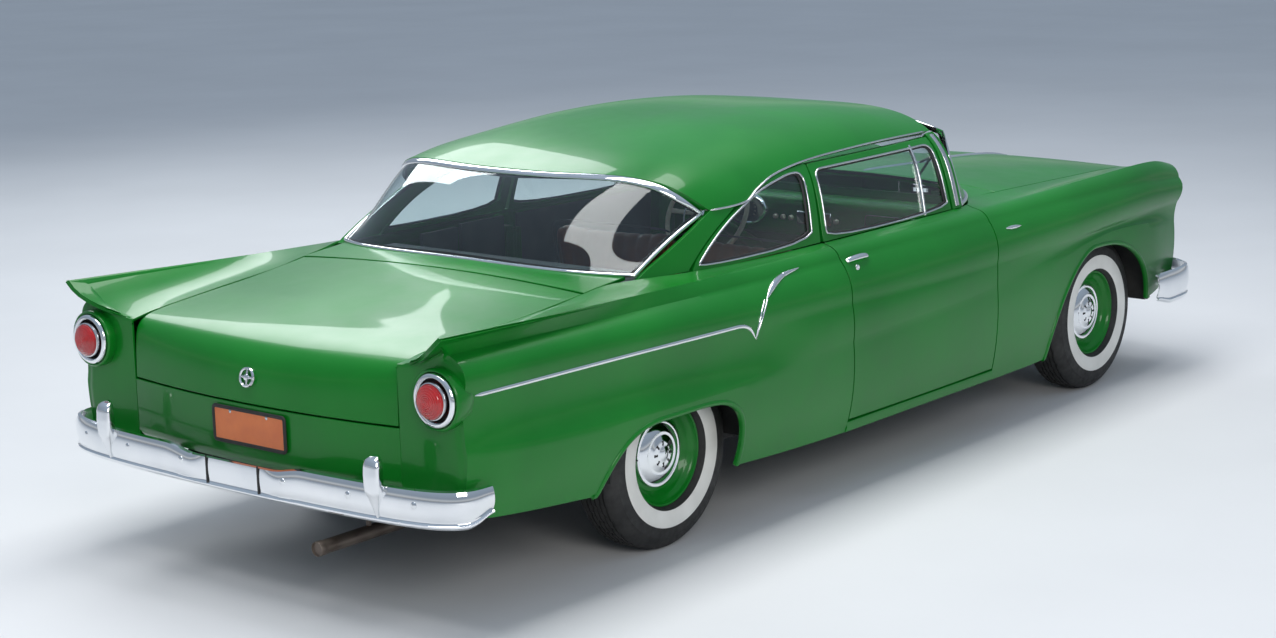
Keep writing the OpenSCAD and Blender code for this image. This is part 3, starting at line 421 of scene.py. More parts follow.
def side_normal(y, s):
    along = side(y + 1.0, s) - side(y - 1.0, s)
    up = side(y, s + 0.01) - side(y, s - 0.01)
    n = np.cross(along, up)
    return n / np.linalg.norm(n, axis=-1, keepdims=True)


# ---- Wheel arches ----
FRONT_ARCH = (FRONT_AXLE - TYRE_R - 58, FRONT_AXLE + TYRE_R + 215, TYRE_R + 327, 2.6, 1.75)
REAR_ARCH = (REAR_AXLE - TYRE_R + 88, REAR_AXLE + TYRE_R + 195, TYRE_R + 200, 5, 2.6)


def arch_height(y, arch):
    a, b, top, p, q = arch
    y = np.asarray(y, float)
    m = a * 0.42 + b * 0.58
    front = (1 - np.clip((m - y) / (m - a), 0, 1) ** p) ** (1 / p)
    back = (1 - np.clip((y - m) / (b - m), 0, 1) ** q) ** (1 / q)
    return 160 + (top - 160) * np.where((y <= a) | (y >= b), 0, np.where(y < m, front, back))


def panel_low(y):
    return np.maximum(curve(SIDE_LINES[0], y, 2), np.maximum(arch_height(y, FRONT_ARCH),
                                                             arch_height(y, REAR_ARCH)))


STRIP_ROWS = [12, 12, 12, 8, 8]


def side_rows(y, low):
    """Strip coordinates of a station's points, from the panel's lower edge up to the seam."""
    sill, crease = curve(SIDE_LINES[0], y, 2), curve(SIDE_LINES[1], y, 2)
    trim = curve(SIDE_LINES[2], y, 2)
    s0 = np.where(low < crease, np.clip((low - sill) / (crease - sill), 0, 1),
                  1 + (low - crease) / (trim - crease))
    rows = [np.maximum(lerp(np.minimum(s0, 0.99), 1, j / STRIP_ROWS[0]), s0 + j * 0.08 / STRIP_ROWS[0])
            for j in range(STRIP_ROWS[0] + 1)]
    for k in range(1, 5):
        for j in range(1, STRIP_ROWS[k] + 1):
            rows.append(np.maximum(k + j / STRIP_ROWS[k],
                                   s0 + 0.08 + (k * 5 + 4 * j / STRIP_ROWS[k]) * 0.004))
    return np.stack(rows, -1)


def side_grid(stations):
    y = np.asarray(stations, float)
    return side(y[:, None], side_rows(y, panel_low(y)))


WALL_X = 646 * KX


def wall_row(row, y, w, x, top, b=1.0):
    k = np.linspace(0, 1, len(row))
    return np.stack([lerp(row[:, 0], x, w), lerp(row[:, 1], y, b),
                     lerp(row[:, 2], lerp(row[0, 2], top, k), w)], -1)


def arch_stations(arch):
    """Stations that crowd towards the two ends of an arch, where the panel's edge is steep."""
    front, back = arch[:2]
    after_front = (-14, -6, -2, 0, 0.4, 1, 2, 4, 8, 13, 20, 30, 45, 65)
    before_back = (-60, -35, -20, -10, -4, 0, 3)
    return [front + offset for offset in after_front], [back + offset for offset in before_back]


def quarter_grid():
    y0 = DOOR_REAR + GAP
    front, back = arch_stations(REAR_ARCH)
    grid = side_grid(steps(y0, *front, *back, 2120 * KY, 2310 * KY, TAIL_Y - 8))
    last = grid[-1]
    ends = [wall_row(last, TAIL_Y - 1, w, WALL_X, 852 * KZ, b)
            for w, b in ((0.02, 0.05), (0.05, 0.12), (0.075, 0.4), (0.1, 0.8), (0.14, 0.95), (0.3, 1))]
    ends += [wall_row(last, TAIL_Y, w, WALL_X, 852 * KZ) for w in (0.45, 0.6, 0.8, 1)]
    return np.concatenate([grid, np.stack(ends)])


def fender_grid():
    y1 = DOOR_FRONT - GAP
    front, back = arch_stations(FRONT_ARCH)
    grid = side_grid(steps(NOSE_Y + 8, -2290 * KY, -2140 * KY, *front, *back, HOOD_REAR, -950 * KY,
                           -840 * KY, y1))
    first = grid[0]
    ends = [wall_row(first, NOSE_Y, w, WALL_X, 860 * KZ) for w in (1, 0.8, 0.6, 0.45, 0.3)]
    ends += [wall_row(first, NOSE_Y + 1, w, WALL_X, 860 * KZ, b)
             for w, b in ((0.14, 0.95), (0.1, 0.8), (0.075, 0.4), (0.05, 0.12), (0.02, 0.05))]
    return np.concatenate([np.stack(ends), grid])


def door_grids():
    y = steps(DOOR_FRONT, DOOR_REAR, gap=20)
    grid = side(y[:, None], side_rows(y, curve(SIDE_LINES[0], y, 2) + 52 * KZ))
    inner = grid.copy()
    inner[..., 0] = np.minimum(800 * KX, grid[..., 0] - 4)
    inner[..., 1] = lerp(DOOR_FRONT + 14, DOOR_REAR - 24,
                         (grid[..., 1] - DOOR_FRONT) / (DOOR_REAR - DOOR_FRONT))
    inner[..., 2] = grid[..., 2] - 14 * smooth((grid[..., 2] / KZ - 900) / 50)
    return grid, inner


# ---- Hood, deck lid and roof ----
HOOD_CENTRE = sized([-2395, 0, 872], [-2330, 0, 902], [-2100, 0, 936], [-1700, 0, 962], [-1300, 0, 978],
                    [-1090, 0, 984])


def hood_point(y, u):
    x = (curve(SEAM, y, 1) - GAP) * u
    z = lerp(curve(HOOD_CENTRE, y, 2), curve(SEAM, y, 2), np.abs(u) ** 2.4)
    return np.stack(np.broadcast_arrays(x, y, z), -1)


def lid_table(*rows):
    return np.array(rows, float) * [1, KY, KZ]


DECK_CENTRE = lid_table([0, 1560, 974], [0.3, 1830, 943], [0.6, 2110, 911], [0.78, 2300, 884],
                        [0.86, 2390, 856], [0.9, 2430, 822], [0.94, 2450, 770], [1, 2458, 660])
DECK_SIDE = lid_table([0, 1560, 948], [0.3, 1830, 918], [0.6, 2110, 895], [0.78, 2290, 878],
                      [0.86, 2360, 860], [0.9, 2388, 832], [0.94, 2399, 780], [1, 2405, 660])


def deck_point(t, u):
    k = np.abs(u) ** 2
    y = lerp(curve(DECK_CENTRE, t, 1), curve(DECK_SIDE, t, 1), k)
    z = lerp(curve(DECK_CENTRE, t, 2), curve(DECK_SIDE, t, 2), k)
    return np.stack(np.broadcast_arrays((curve(SEAM, y, 1) - GAP) * u, y, z), -1)


DOME_TOP = np.array([[-640, 1346], [-300, 1384], [100, 1400], [500, 1386], [900, 1338], [1150, 1276],
                     [1300, 1222], [1450, 1160]]) * [KY, KZ]
DOME_HALF = np.array([[-640, 806], [0, 806], [600, 806], [900, 798], [1100, 782], [1300, 748],
                      [1450, 712]]) * [KY, KX]
DOME_POWER = stretched([-640, 4], [300, 4], [700, 4], [1000, 4.7], [1150, 4.8], [1300, 3.4], [1450, 2.6])
DOME_LEAN = stretched([-640, 0.12], [300, 0.12], [900, 0.1], [1450, 0.08])
ROOF_EDGE = np.array([[-640, 1252], [-300, 1258], [0, 1256], [300, 1246], [515, 1222], [640, 1188],
                      [730, 1154], [932, 1149], [1150, 1149]]) * [KY, KZ]


def dome_at_angle(y, angle):
    """x and z of the greenhouse's section at station y; angle 0 is at the belt, 90 at the top."""
    n = curve(DOME_POWER, y)
    c, h = np.abs(np.cos(angle)), np.abs(np.sin(angle))
    r = (c**n + h**n) ** (1 / n)
    c, h = c / r, h / r
    return (curve(DOME_HALF, y) * c * (1 - curve(DOME_LEAN, y) * h),
            BELT_Z + (curve(DOME_TOP, y) - BELT_Z) * h)


def dome_angle(y, z):
    n = curve(DOME_POWER, y)
    h = np.clip((z - BELT_Z) / (curve(DOME_TOP, y) - BELT_Z), 0, 1)
    return np.arctan2(h, (1 - h**n) ** (1 / n))


def on_dome(y, z, inward=0.0):
    y, z = np.broadcast_arrays(np.asarray(y, float), np.asarray(z, float))
    x, _ = dome_at_angle(y, dome_angle(y, z))
    return np.stack([x - inward, y, z], -1)


ROOF_FRONT, ROOF_BACK, ROOF_CORNER = -625 * KY, 1150 * KY, 932 * KY


def roof_point(v, u):
    v, u = np.broadcast_arrays(np.asarray(v, float), np.asarray(u, float))
    y = lerp(ROOF_FRONT, ROOF_BACK - (ROOF_BACK - ROOF_CORNER) * np.abs(u) ** 3, v)
    angle = lerp(math.pi / 2, dome_angle(y, curve(ROOF_EDGE, y)), np.abs(u))
    x, z = dome_at_angle(y, angle)
    return np.stack([np.sign(u) * x, y, z], -1)


# ---- Painted panels ----
UP, OUT = (0, 0, 1), (1, 0, 0)
HANDS = (("left", 1.0), ("right", -1.0))
for name, left_grid, node in (("quarter_panel_", quarter_grid(), "quarter_panels"),
                              ("fender_", fender_grid(), "fenders")):
    for hand, sign in HANDS:
        grid = left_grid if sign > 0 else mirrored(left_grid)
        ready(shell(name + hand, grid, SIDE_SKIN, (sign, 0, 0), PAINT), "body", "body_paint", node)
door_outer, door_inner = door_grids()
for hand, sign in HANDS:
    turn = np.array([sign, 1, 1])
    piece = build("door_" + hand, *between(door_outer * turn, door_inner * turn), PAINT, bevel=2.5)
    ready(piece, hand + "_door", "body_paint", "door_" + hand)

across = np.linspace(1, -1, 81)
hood = hood_point(steps(-2378 * KY, -2330 * KY, HOOD_REAR, gap=16)[:, None], across[None])
ready(shell("hood_panel", hood, LID_SKIN, UP, PAINT, 3), "hood_lid", "body_paint", "hood")
deck_t = np.concatenate([np.linspace(0, 0.78, 50, endpoint=False), np.linspace(0.78, 1, 40)])
deck = deck_point(deck_t[:, None], across[None])
ready(shell("deck_lid_panel", deck, LID_SKIN, UP, PAINT, 3), "trunk_lid", "body_paint", "deck_lid")
roof = roof_point(np.linspace(0, 1, 80)[:, None], np.linspace(1, -1, 97)[None])
ready(shell("roof_panel", roof, LID_SKIN, UP, PAINT, 2.5, True), "body", "body_paint", "roof")


# ---- Sweeps and turned parts ----
def unit(v):
    return v / np.maximum(np.linalg.norm(v, axis=-1, keepdims=True), 1e-9)


def sweep(points, out, profile, scale=None, loop=False):
    """Points and faces of a section carried along a path. The profile is (across, out) offsets; out is the
    direction that each point's section faces, and scale is one factor or a pair for each point."""
    points = np.asarray(points, float)
    if loop:
        tangent = unit(np.roll(points, -1, 0) - np.roll(points, 1, 0))
    else:
        tangent = unit(np.gradient(points, axis=0))
    out = unit(np.broadcast_to(np.asarray(out, float), points.shape))
    across = unit(np.cross(out, tangent))
    out = unit(np.cross(tangent, across))
    section = np.asarray(profile, float)
    factor = np.ones((len(points), 2))
    if scale is not None:
        factor *= np.asarray(scale, float).T if np.ndim(scale) == 2 else np.asarray(scale, float)[:, None]
    grid = (points[:, None] + across[:, None] * section[None, :, :1] * factor[:, None, :1]
            + out[:, None] * section[None, :, 1:] * factor[:, None, 1:])
    n = len(section)
    faces = quads(len(points), n, wrap=True)
    if loop:
        last = (len(points) - 1) * n
        faces += [(last + j, last + (j + 1) % n, (j + 1) % n, j) for j in range(n)]
    else:
        faces += [tuple(range(n))[::-1], tuple(range((len(points) - 1) * n, len(points) * n))]
    return grid.reshape(-1, 3), faces


def half_round(width, height, count=8, sink=2.0):
    a = np.linspace(0, math.pi, count + 1)
    return np.concatenate([[(width / 2, -sink)], np.stack([np.cos(a) * width / 2, np.sin(a) * height], -1),
                           [(-width / 2, -sink)]])


def disc(radius, count=12):
    a = np.linspace(0, 2 * math.pi, count, endpoint=False)
    return np.stack([np.cos(a), np.sin(a)], -1) * radius


def join(*parts):
    """Several (points, faces) as one."""
    points, faces, start = [], [], 0
    for p, f in parts:
        points.append(p)
        faces += [tuple(i + start for i in face) for face in f]
        start += len(p)
    return np.concatenate(points), faces


def moved(part, shift=(0, 0, 0), turn=None):
    points, faces = part
    if turn is not None:
        points = points @ np.asarray(turn, float).T
    return points + np.asarray(shift, float), faces


def flipped(part):
    """The part on the car's other side."""
    return mirrored(part[0]), [tuple(f)[::-1] for f in part[1]]


def turned(profile, count=96, axis=0):
    """A profile of (along, radius) turned about the X, Y or Z axis."""
    profile = np.asarray(profile, float)
    a = np.linspace(0, 2 * math.pi, count, endpoint=False)
    ring_points = np.stack([np.broadcast_to(profile[:, :1], (len(profile), count)),
                            profile[:, 1:] * np.cos(a), profile[:, 1:] * np.sin(a)], -1)
    points = np.roll(ring_points, axis, axis=-1)
    return points.reshape(-1, 3), quads(len(profile), count, wrap=True)


def block(low, high, taper=0.0):
    """A box with its top face drawn in by taper on each side; edges are rounded by build()."""
    (x0, y0, z0), (x1, y1, z1) = low, high
    t = taper
    points = [(x0, y0, z0), (x1, y0, z0), (x1, y1, z0), (x0, y1, z0),
              (x0 + t, y0 + t, z1), (x1 - t, y0 + t, z1), (x1 - t, y1 - t, z1), (x0 + t, y1 - t, z1)]
    return np.array(points, float), [(0, 3, 2, 1), (4, 5, 6, 7), (0, 1, 5, 4), (1, 2, 6, 5), (2, 3, 7, 6),
                                     (3, 0, 4, 7)]


def resample(points, count, loop=False):
    """Evenly spaced points on a polyline."""
    points = np.asarray(points, float)
    if loop:
        points = np.concatenate([points, points[:1]])
    run = np.concatenate([[0], np.cumsum(np.linalg.norm(np.diff(points, axis=0), axis=1))])
    at = np.linspace(0, run[-1], count, endpoint=not loop)
    return np.stack([np.interp(at, run, points[:, k]) for k in range(points.shape[1])], -1)


def rounded(points, rounds=2, loop=True):
    """Chaikin's corner cutting."""
    p = np.asarray(points, float)
    for _ in range(rounds):
        q = np.roll(p, -1, 0) if loop else p[1:]
        a = p if loop else p[:-1]
        cut = np.stack([a * 0.75 + q * 0.25, a * 0.25 + q * 0.75], 1).reshape(-1, p.shape[1])
        p = cut if loop else np.concatenate([p[:1], cut, p[-1:]])
    return p


def pair(name, part, mat, bodies, slot, nodes=(), **options):
    """The part on both sides of the car, one object for each. bodies is one body or a (left, right) pair."""
    bodies = (bodies, bodies) if isinstance(bodies, str) else bodies
    for hand, body, shape in zip(("left", "right"), bodies, (part, flipped(part))):
        ready(build(f"{name}_{hand}", *shape, mat, **options), body, slot, *nodes)


DOORS = ("left_door", "right_door")


# ---- Fixed panels round the glass ----
def outline(corners, count=90):
    """A closed (y, z) outline with softened corners."""
    return resample(rounded(corners), count, loop=True)


def ring(outer, inner, thickness):
    count = len(outer)
    levels = [outer, inner, inner - [thickness, 0, 0], outer - [thickness, 0, 0]]
    faces = []
    for r in range(4):
        a, b = r * count, (r + 1) % 4 * count
        faces += [(a + i, a + (i + 1) % count, b + (i + 1) % count, b + i) for i in range(count)]
    return np.concatenate(levels), faces


def lay(outline_points, inward=0.0):
    return on_dome(outline_points[:, 0], outline_points[:, 1], inward)


def quarter_corners(grow):
    back = np.array([[950, 1078], [975, 1052], [1040, 965], [1093, 872], [1140, 760], [1180, 640],
                     [1210, 540]]) * [KZ, KY]
    loop = []
    for i in range(4):
        z = lerp(966 * KZ - grow * 0.5, 1215 * KZ + grow, i / 3)
        loop.append((lerp(392 * KY, 352 * KY, i / 3) - grow * 1.9, z))
    for y in (430, 500, 560):
        top = min(curve(ROOF_EDGE, y * KY) - 5, 1222 * KZ - (y - 400) * 0.16 + grow)
        loop.append((y * KY, top))
    for i in range(9):
        z = lerp(1176 * KZ, 966 * KZ, i / 8)
        y = curve(back, z) + grow
        loop.append((y, min(z - (grow * 0.5 if i == 8 else 0), curve(ROOF_EDGE, y) - 6)))
    return np.array(loop, float)


def door_corners(grow):
    front = [(-536 * KY - grow, lerp(958 * KZ - grow * 0.3, 1214 * KZ + grow, i / 4)) for i in range(5)]
    top = [(lerp(-536 * KY - grow, 276 * KY + grow, i / 8), lerp(1214, 1213, i / 8) * KZ + grow)
           for i in range(1, 8)]
    back = [(lerp(276 * KY, 304 * KY, i / 4) + grow, lerp(1213 * KZ + grow, 958 * KZ - grow * 0.3, i / 4))
            for i in range(5)]
    return np.array(front + top + back, float)


FRAME_BAND = 24
COUNT = 120


def window_ring(corners, band, thickness):
    return ring(lay(resample(corners(band), COUNT, True)), lay(outline(corners(0), COUNT)), thickness)


pair("quarter_window_frame", window_ring(quarter_corners, FRAME_BAND, LID_SKIN), PAINT, "body",
     "body_paint", ("sail_panels",), bevel=2)
pair("door_window_frame", window_ring(door_corners, 22, 26), PAINT, DOORS, "body_paint", bevel=2)
for name, corners, body in (("quarter_window_bead", quarter_corners, "body"),
                            ("door_window_bead", door_corners, DOORS)):
    bead = lay(outline(corners(-1), COUNT), -1.0)
    pair(name, sweep(bead, OUT, half_round(8, 4), loop=True), STAINLESS, body, "bright_metal")
    seal = lay(outline(corners(-6), COUNT), 8.0)
    pair(name.replace("bead", "seal"), sweep(seal, OUT, half_round(14, 5), loop=True), SEAL, body, "tyre")

SAIL_FRONT = np.array([[950, 1114], [975, 1088], [1040, 1001], [1093, 910], [1149, 788]]) * [KZ, KY]
SAIL_BACK = np.array([[950, 1352], [984, 1298], [1060, 1130], [1149, 934]]) * [KZ, KY]
sail_z = np.linspace(962 * KZ, 1149 * KZ, 40)[None]
sail = on_dome(lerp(curve(SAIL_FRONT, sail_z), curve(SAIL_BACK, sail_z), np.linspace(0, 1, 30)[:, None]),
               sail_z)
for hand, sign in HANDS:
    turn = np.array([sign, 1, 1])
    ready(shell("sail_panel_" + hand, sail * turn, LID_SKIN, (sign, 0, 0), PAINT, level=True), "body",
          "body_paint", "sail_panels")
pillar_z = np.linspace(950 * KZ, 1249 * KZ, 40)[None]
pillar = on_dome(lerp(-640 * KY, -574 * KY, np.linspace(0, 1, 12)[:, None]), pillar_z)
for hand, sign in HANDS:
    shape = shell("windshield_pillar_" + hand, pillar * [sign, 1, 1], 34, (sign, 0, 0), PAINT, 3)
    ready(shape, "body", "body_paint")
pillar_cover = block((716 * KX, -696 * KY, 300 * KZ), (775 * KX, -578 * KY, 949 * KZ), 4)
pair("hinge_pillar", pillar_cover, PAINT_INSIDE, "body", "body_paint", ("pillars",), bevel=4)
lock = join(block((742 * KX, 342 * KY, 300 * KZ), (842 * KX, 386 * KY, 1190 * KZ - 300)),
            block((765 * KX, 270 * KY, 300 * KZ), (799 * KX, 300 * KY, 870 * KZ)),
            block((765 * KX, 299 * KY, 300 * KZ), (785 * KX, 342 * KY, 870 * KZ)))
pair("lock_pillar", lock, PAINT_INSIDE, "body", "body_paint", bevel=3)


def windshield_point(u, v):
    u, v = np.broadcast_arrays(np.asarray(u, float), np.asarray(v, float))
    k = np.abs(u)
    base = np.stack([790 * KX * u, lerp(-1004, -657, k**6) * KY, lerp(984, 958, k * k) * KZ], -1)
    top = np.stack([lerp(640, 704, k) * KX * u, lerp(-642, -650, k) * KY, lerp(1336, 1246, k**2.6) * KZ],
                   -1)
    bow = 4 * v * (1 - v)
    lift = np.stack([0 * u, -34 * KY * bow * (1 - k * k), 16 * KZ * bow * (1 - k)], -1)
    return lerp(base, top, v[..., None]) + lift


def rear_window_point(u, v):
    u, v = np.broadcast_arrays(np.asarray(u, float), np.asarray(v, float))
    k = np.abs(u)
    top = roof_point(1, u) + np.stack([-25 * u, 18 + 0 * u, -10 + 0 * u], -1)
    base = np.stack([713 * KX * u, lerp(1446, 1318, k**3.5) * KY, lerp(990, 974, k * k) * KZ], -1)
    bow = 4 * v * (1 - v)
    lift = np.stack([0 * u, 30 * bow * (1 - k * k), 26 * bow * (1 - k * k * 0.6)], -1)
    return lerp(base, top, v[..., None]) + lift


def glass_piece(name, grid, towards, body, *cad):
    piece = shell(name, grid, GLASS_SKIN, towards, GLASS, 0)
    return ready(piece, body, "window_glass", *cad)


wide = np.linspace(-1, 1, 97)[:, None]
tall = np.linspace(0, 1, 31)[None]
windshield = windshield_point(wide, tall)
rear_window = rear_window_point(wide, tall)
glass_piece("windshield_glass", windshield, (0, -1, 1), "body", "fixed_glass")
glass_piece("rear_window_glass", rear_window, (0, 1, 1), "body")


def pane(corners, inward):
    """The grid of a glass that fills an outline on the greenhouse."""
    loop = resample(rounded(corners), 160, True)
    z = np.linspace(loop[:, 1].min(), loop[:, 1].max(), 26)[1:-1]
    rows = []
    for height in z:
        near = np.sign(loop[:, 1] - height) != np.sign(np.roll(loop[:, 1], -1) - height)
        a, b = loop[near], np.roll(loop, -1, 0)[near]
        y = a[:, 0] + (height - a[:, 1]) / (b[:, 1] - a[:, 1] + 1e-9) * (b[:, 0] - a[:, 0])
        rows.append(on_dome(np.linspace(y.min(), y.max(), 24), height, inward))
    return np.stack(rows)


quarter_pane, door_pane = pane(quarter_corners(1), 10), pane(door_corners(2), 10)
for hand, sign in HANDS:
    turn = np.array([sign, 1, 1])
    glass_piece("quarter_glass_" + hand, quarter_pane * turn, (sign, 0, 0), "body")
    glass_piece("door_window_" + hand, door_pane * turn, (sign, 0, 0), hand + "_door", "door_glass_" + hand)


def grid_loop(grid):
    """The border of a grid as an even closed loop, with the outward normals of the grid there."""
    n = normals(grid)
    if n[..., 2].sum() < 0:
        n = -n

    def rim(a):
        return np.concatenate([a[:, 0], a[-1, 1:], a[-2::-1, -1], a[0, -2:0:-1]])

    both = resample(np.concatenate([rim(grid), rim(n) * 1e-6], 1), 260, True)
    return both[:, :3], unit(both[:, 3:])


for name, grid, top_width in (("windshield", windshield, 17), ("rear_window", rear_window, 30)):
    loop, face = grid_loop(grid)
    height = (loop[:, 2] - loop[:, 2].min()) / np.ptp(loop[:, 2])
    width = lerp(15.0, top_width, smooth((height - 0.62) / 0.15)) / 15.0
    trim = sweep(loop + face * 1.5, face, half_round(15, 7), (width, 1 + 0 * width), loop=True)
    ready(build(name + "_moulding", *trim, CHROME), "body", "bright_metal")
    centre = loop.mean(0)
    inside = loop + unit(centre - loop) * (8 + width * 5)[:, None]
    rubber = sweep(inside + face * 1.0, face, half_round(16, 3.4), loop=True)
    ready(build(name + "_rubber", *rubber, SEAL), "body", "tyre")


def cowl_grid():
    x = np.linspace(-684, 684, 81)[:, None] * KX
    y1 = lerp(-1004, -657, (np.abs(x) / (790 * KX)) ** 6) * KY - 0.6
    y = lerp(HOOD_REAR + GAP, y1, np.linspace(0, 1, 9)[None])
    z = lerp(984, 944, (np.abs(x) / 684 / KX) ** 2.4) * KZ
    return np.stack(np.broadcast_arrays(x, y, z), -1)


def shelf_grid():
    x = np.linspace(-687, 687, 81)[:, None] * KX
    k = np.abs(x) / (713 * KX)
    t = np.linspace(0, 1, 9)[None]
    y = lerp(lerp(1446, 1318, k**3.5) * KY + 0.6, DECK_FRONT - GAP, t)
    z = lerp(lerp(991, 970, k * k), lerp(975, 950, k * k), t) * KZ
    return np.stack(np.broadcast_arrays(x, y, z), -1)


ready(shell("cowl_panel", cowl_grid(), SKIN, UP, PAINT, 2), "body", "body_paint", "cowl_panels")
ready(shell("rear_deck_panel", shelf_grid(), SKIN, UP, PAINT, 2), "body", "body_paint", "cowl_panels")


def end_panel():
    u = np.linspace(1, -1, 61)[:, None]
    z = np.linspace(440, 654, 14)[None] * KZ
    y = lerp(2457, 2405, u * u) * KY - 30 * smooth((470 * KZ - z) / 30)
    return np.stack(np.broadcast_arrays((WALL_X - 1.5) * u, y, z), -1)


ready(shell("rear_lower_panel", end_panel(), SKIN, (0, 1, 0), PAINT, 2), "body", "body_paint", "end_panels")
grille_low, grille_high = 610 * KZ, 806 * KZ
nose = join(block((1 - WALL_X, NOSE_Y - 12, 430 * KZ), (WALL_X - 1, NOSE_Y + 4, grille_low)),
            block((1 - WALL_X, NOSE_Y - 12, grille_high), (WALL_X - 1, NOSE_Y + 4, 848 * KZ)),
            block((1 - WALL_X, NOSE_Y - 11, grille_low - 1), (-575 * KX, NOSE_Y + 3, grille_high + 1)),
            block((575 * KX, NOSE_Y - 11, grille_low - 1), (WALL_X - 1, NOSE_Y + 3, grille_high + 1)))
ready(build("front_panel", *nose, PAINT, bevel=4), "body", "body_paint", "end_panels")
rocker_y = (DOOR_FRONT - GAP, DOOR_REAR + GAP)
rocker_section = np.array([[790.3, 284], [896, 284], [908, 276], [911, 258], [904, 238],
                           [790.3, 238]]) * [KX, KZ]
rocker = (np.concatenate([np.column_stack([rocker_section[:, 0], np.full(6, y), rocker_section[:, 1]])
                          for y in np.linspace(*rocker_y, 30)]),
          quads(30, 6, wrap=True) + [(5, 4, 3, 2, 1, 0), tuple(range(174, 180))])
pair("rocker", rocker, PAINT, "body", "body_paint", ("rockers",), bevel=2)


# ---- Bright trim on the sides ----
TRIM_LIFT = 0.5


def side_path(marks, count):
    """An even path just off the left side through (y, z) marks, and the surface's normals there."""
    marks = resample(rounded(np.array(marks, float) * [KY, KZ], 3, loop=False), count)
    s = strip_at(marks[:, 0], marks[:, 1])
    n = side_normal(marks[:, 0], s)
    return side(marks[:, 0], s) + n * TRIM_LIFT, n


def taper(count, start, end, power=0.6):
    """Scale factors that run to points over the first and last shares of a path."""
    t = np.linspace(0, 1, count)
    return np.clip(np.minimum(t / max(start, 1e-6), (1 - t) / max(end, 1e-6)), 0.06, 1) ** power


def trim_piece(name, marks, width, height, ends, count=90):
    """A bright strip on each side of the body; ends are the shares of its length that run to points."""
    path, n = side_path(marks, count)
    pair(name, sweep(path, n, half_round(width, height), taper(count, *ends)), CHROME, "body", "bright_metal")


trim_piece("side_spear", [(2352, 787), (1766, 783), (1300, 775), (1090, 771), (1010, 770), (962, 752),
                          (925, 706)],
           15, 7, (0.02, 0.05), 160)
trim_piece("chevron_blade", [(590, 903), (700, 893), (790, 868), (846, 836)], 24, 8, (0.55, 0.25))
for number, shift in enumerate((0, 17)):
    trim_piece(f"chevron_line_{number}", [(842 + shift, 838), (880 + shift, 800),
                                          (905 + shift * 0.6, 760), (926, 708)],
               6, 4.5, (0.05, 0.2))
trim_piece("fender_badge", [(-790, 851), (-850, 849), (-905, 847)], 16, 6, (0.35, 0.35))


def edge_path(y_from, y_to, arch):
    """The lower edge of a side panel between two stations, along an arch."""
    y = np.concatenate([steps(y_from, arch[0], gap=12)[:-1], steps(arch[0], arch[0] + 3, gap=0.15),
                        steps(arch[0] + 3, arch[1] - 3, gap=5)[1:],
                        steps(arch[1] - 3, arch[1], gap=0.15)[1:], steps(arch[1], y_to, gap=12)[1:]])
    s = strip_at(y, panel_low(y))
    both = resample(np.concatenate([side(y, s), side_normal(y, s) * 1e-6], 1), 220)
    return both[:, :3], unit(both[:, 3:])


for name, arch in (("rear_arch_lip", REAR_ARCH), ("front_arch_lip", FRONT_ARCH)):
    path, n = edge_path(arch[0] - 1, arch[1] + 1, arch)
    inward = path + n * -3
    pair(name, sweep(inward, n, half_round(20, 9, sink=10)), PAINT, "body", "body_paint")

# Drip rail from the rear window's upper corner along the roof's edge to the windshield pillar
rail_v = np.linspace(0.03, 1, 160)
rail = roof_point(rail_v, 1 + 0 * rail_v) + [1.5, 0, 1.0]
pair("drip_rail", sweep(rail, unit(np.array([1, 0, 0.35])), half_round(9, 7), taper(160, 0.02, 0.02)),
     STAINLESS, "body", "bright_metal")

# Door handles, with a lock button under each
handle_y = np.linspace(305, 170, 24) * KY
handle_s = strip_at(handle_y, 884 * KZ)
handle_n = side_normal(handle_y, handle_s)
bow = np.sin(np.linspace(0, math.pi, 24)) ** 0.45
handle = side(handle_y, handle_s) + handle_n * (2 + 15 * bow)[:, None]
grip = sweep(handle, handle_n, disc(8) * [1.2, 0.55], 0.75 + 0.35 * bow)
lock_place = side(np.array([262 * KY]), strip_at(np.array([262 * KY]), np.array([856 * KZ])))[0]
lock_button = moved(turned([(-2, 0.1), (-2, 11), (3, 11), (5, 8.5), (5, 4), (3.5, 3), (3.5, 0.1)], 32),
                    lock_place)
pair("door_handle", join(grip, lock_button), CHROME, DOORS, "bright_metal", bevel=0)
# Vent window bar in each door window
vent_z = np.linspace(955, 1222, 24) * KZ
vent = on_dome(lerp(-372 * KY, -398 * KY, np.linspace(0, 1, 24)), vent_z, 2)
pair("vent_bar", sweep(vent, OUT, half_round(13, 5, sink=9)), STAINLESS, DOORS, "bright_metal")
# Bright strip on each windshield pillar
edge_z = np.linspace(962, 1240, 30) * KZ
strip = on_dome(-606 * KY + 0 * edge_z, edge_z, -1)
pair("pillar_strip", sweep(strip, OUT, half_round(26, 5)), STAINLESS, "body", "bright_metal")


# ---- Bumpers ----
FRONT_PATH = np.array([[0, -2536], [160, -2535], [330, -2530], [500, -2518], [640, -2500], [760, -2472],
                       [850, -2434], [910, -2384], [944, -2318], [958, -2240], [962, -2130], [963, -2012]])
REAR_PATH = np.array([[0, 2544], [160, 2543], [330, 2540], [500, 2533], [640, 2523], [770, 2507],
                      [860, 2484], [922, 2448], [953, 2398], [962, 2330]])


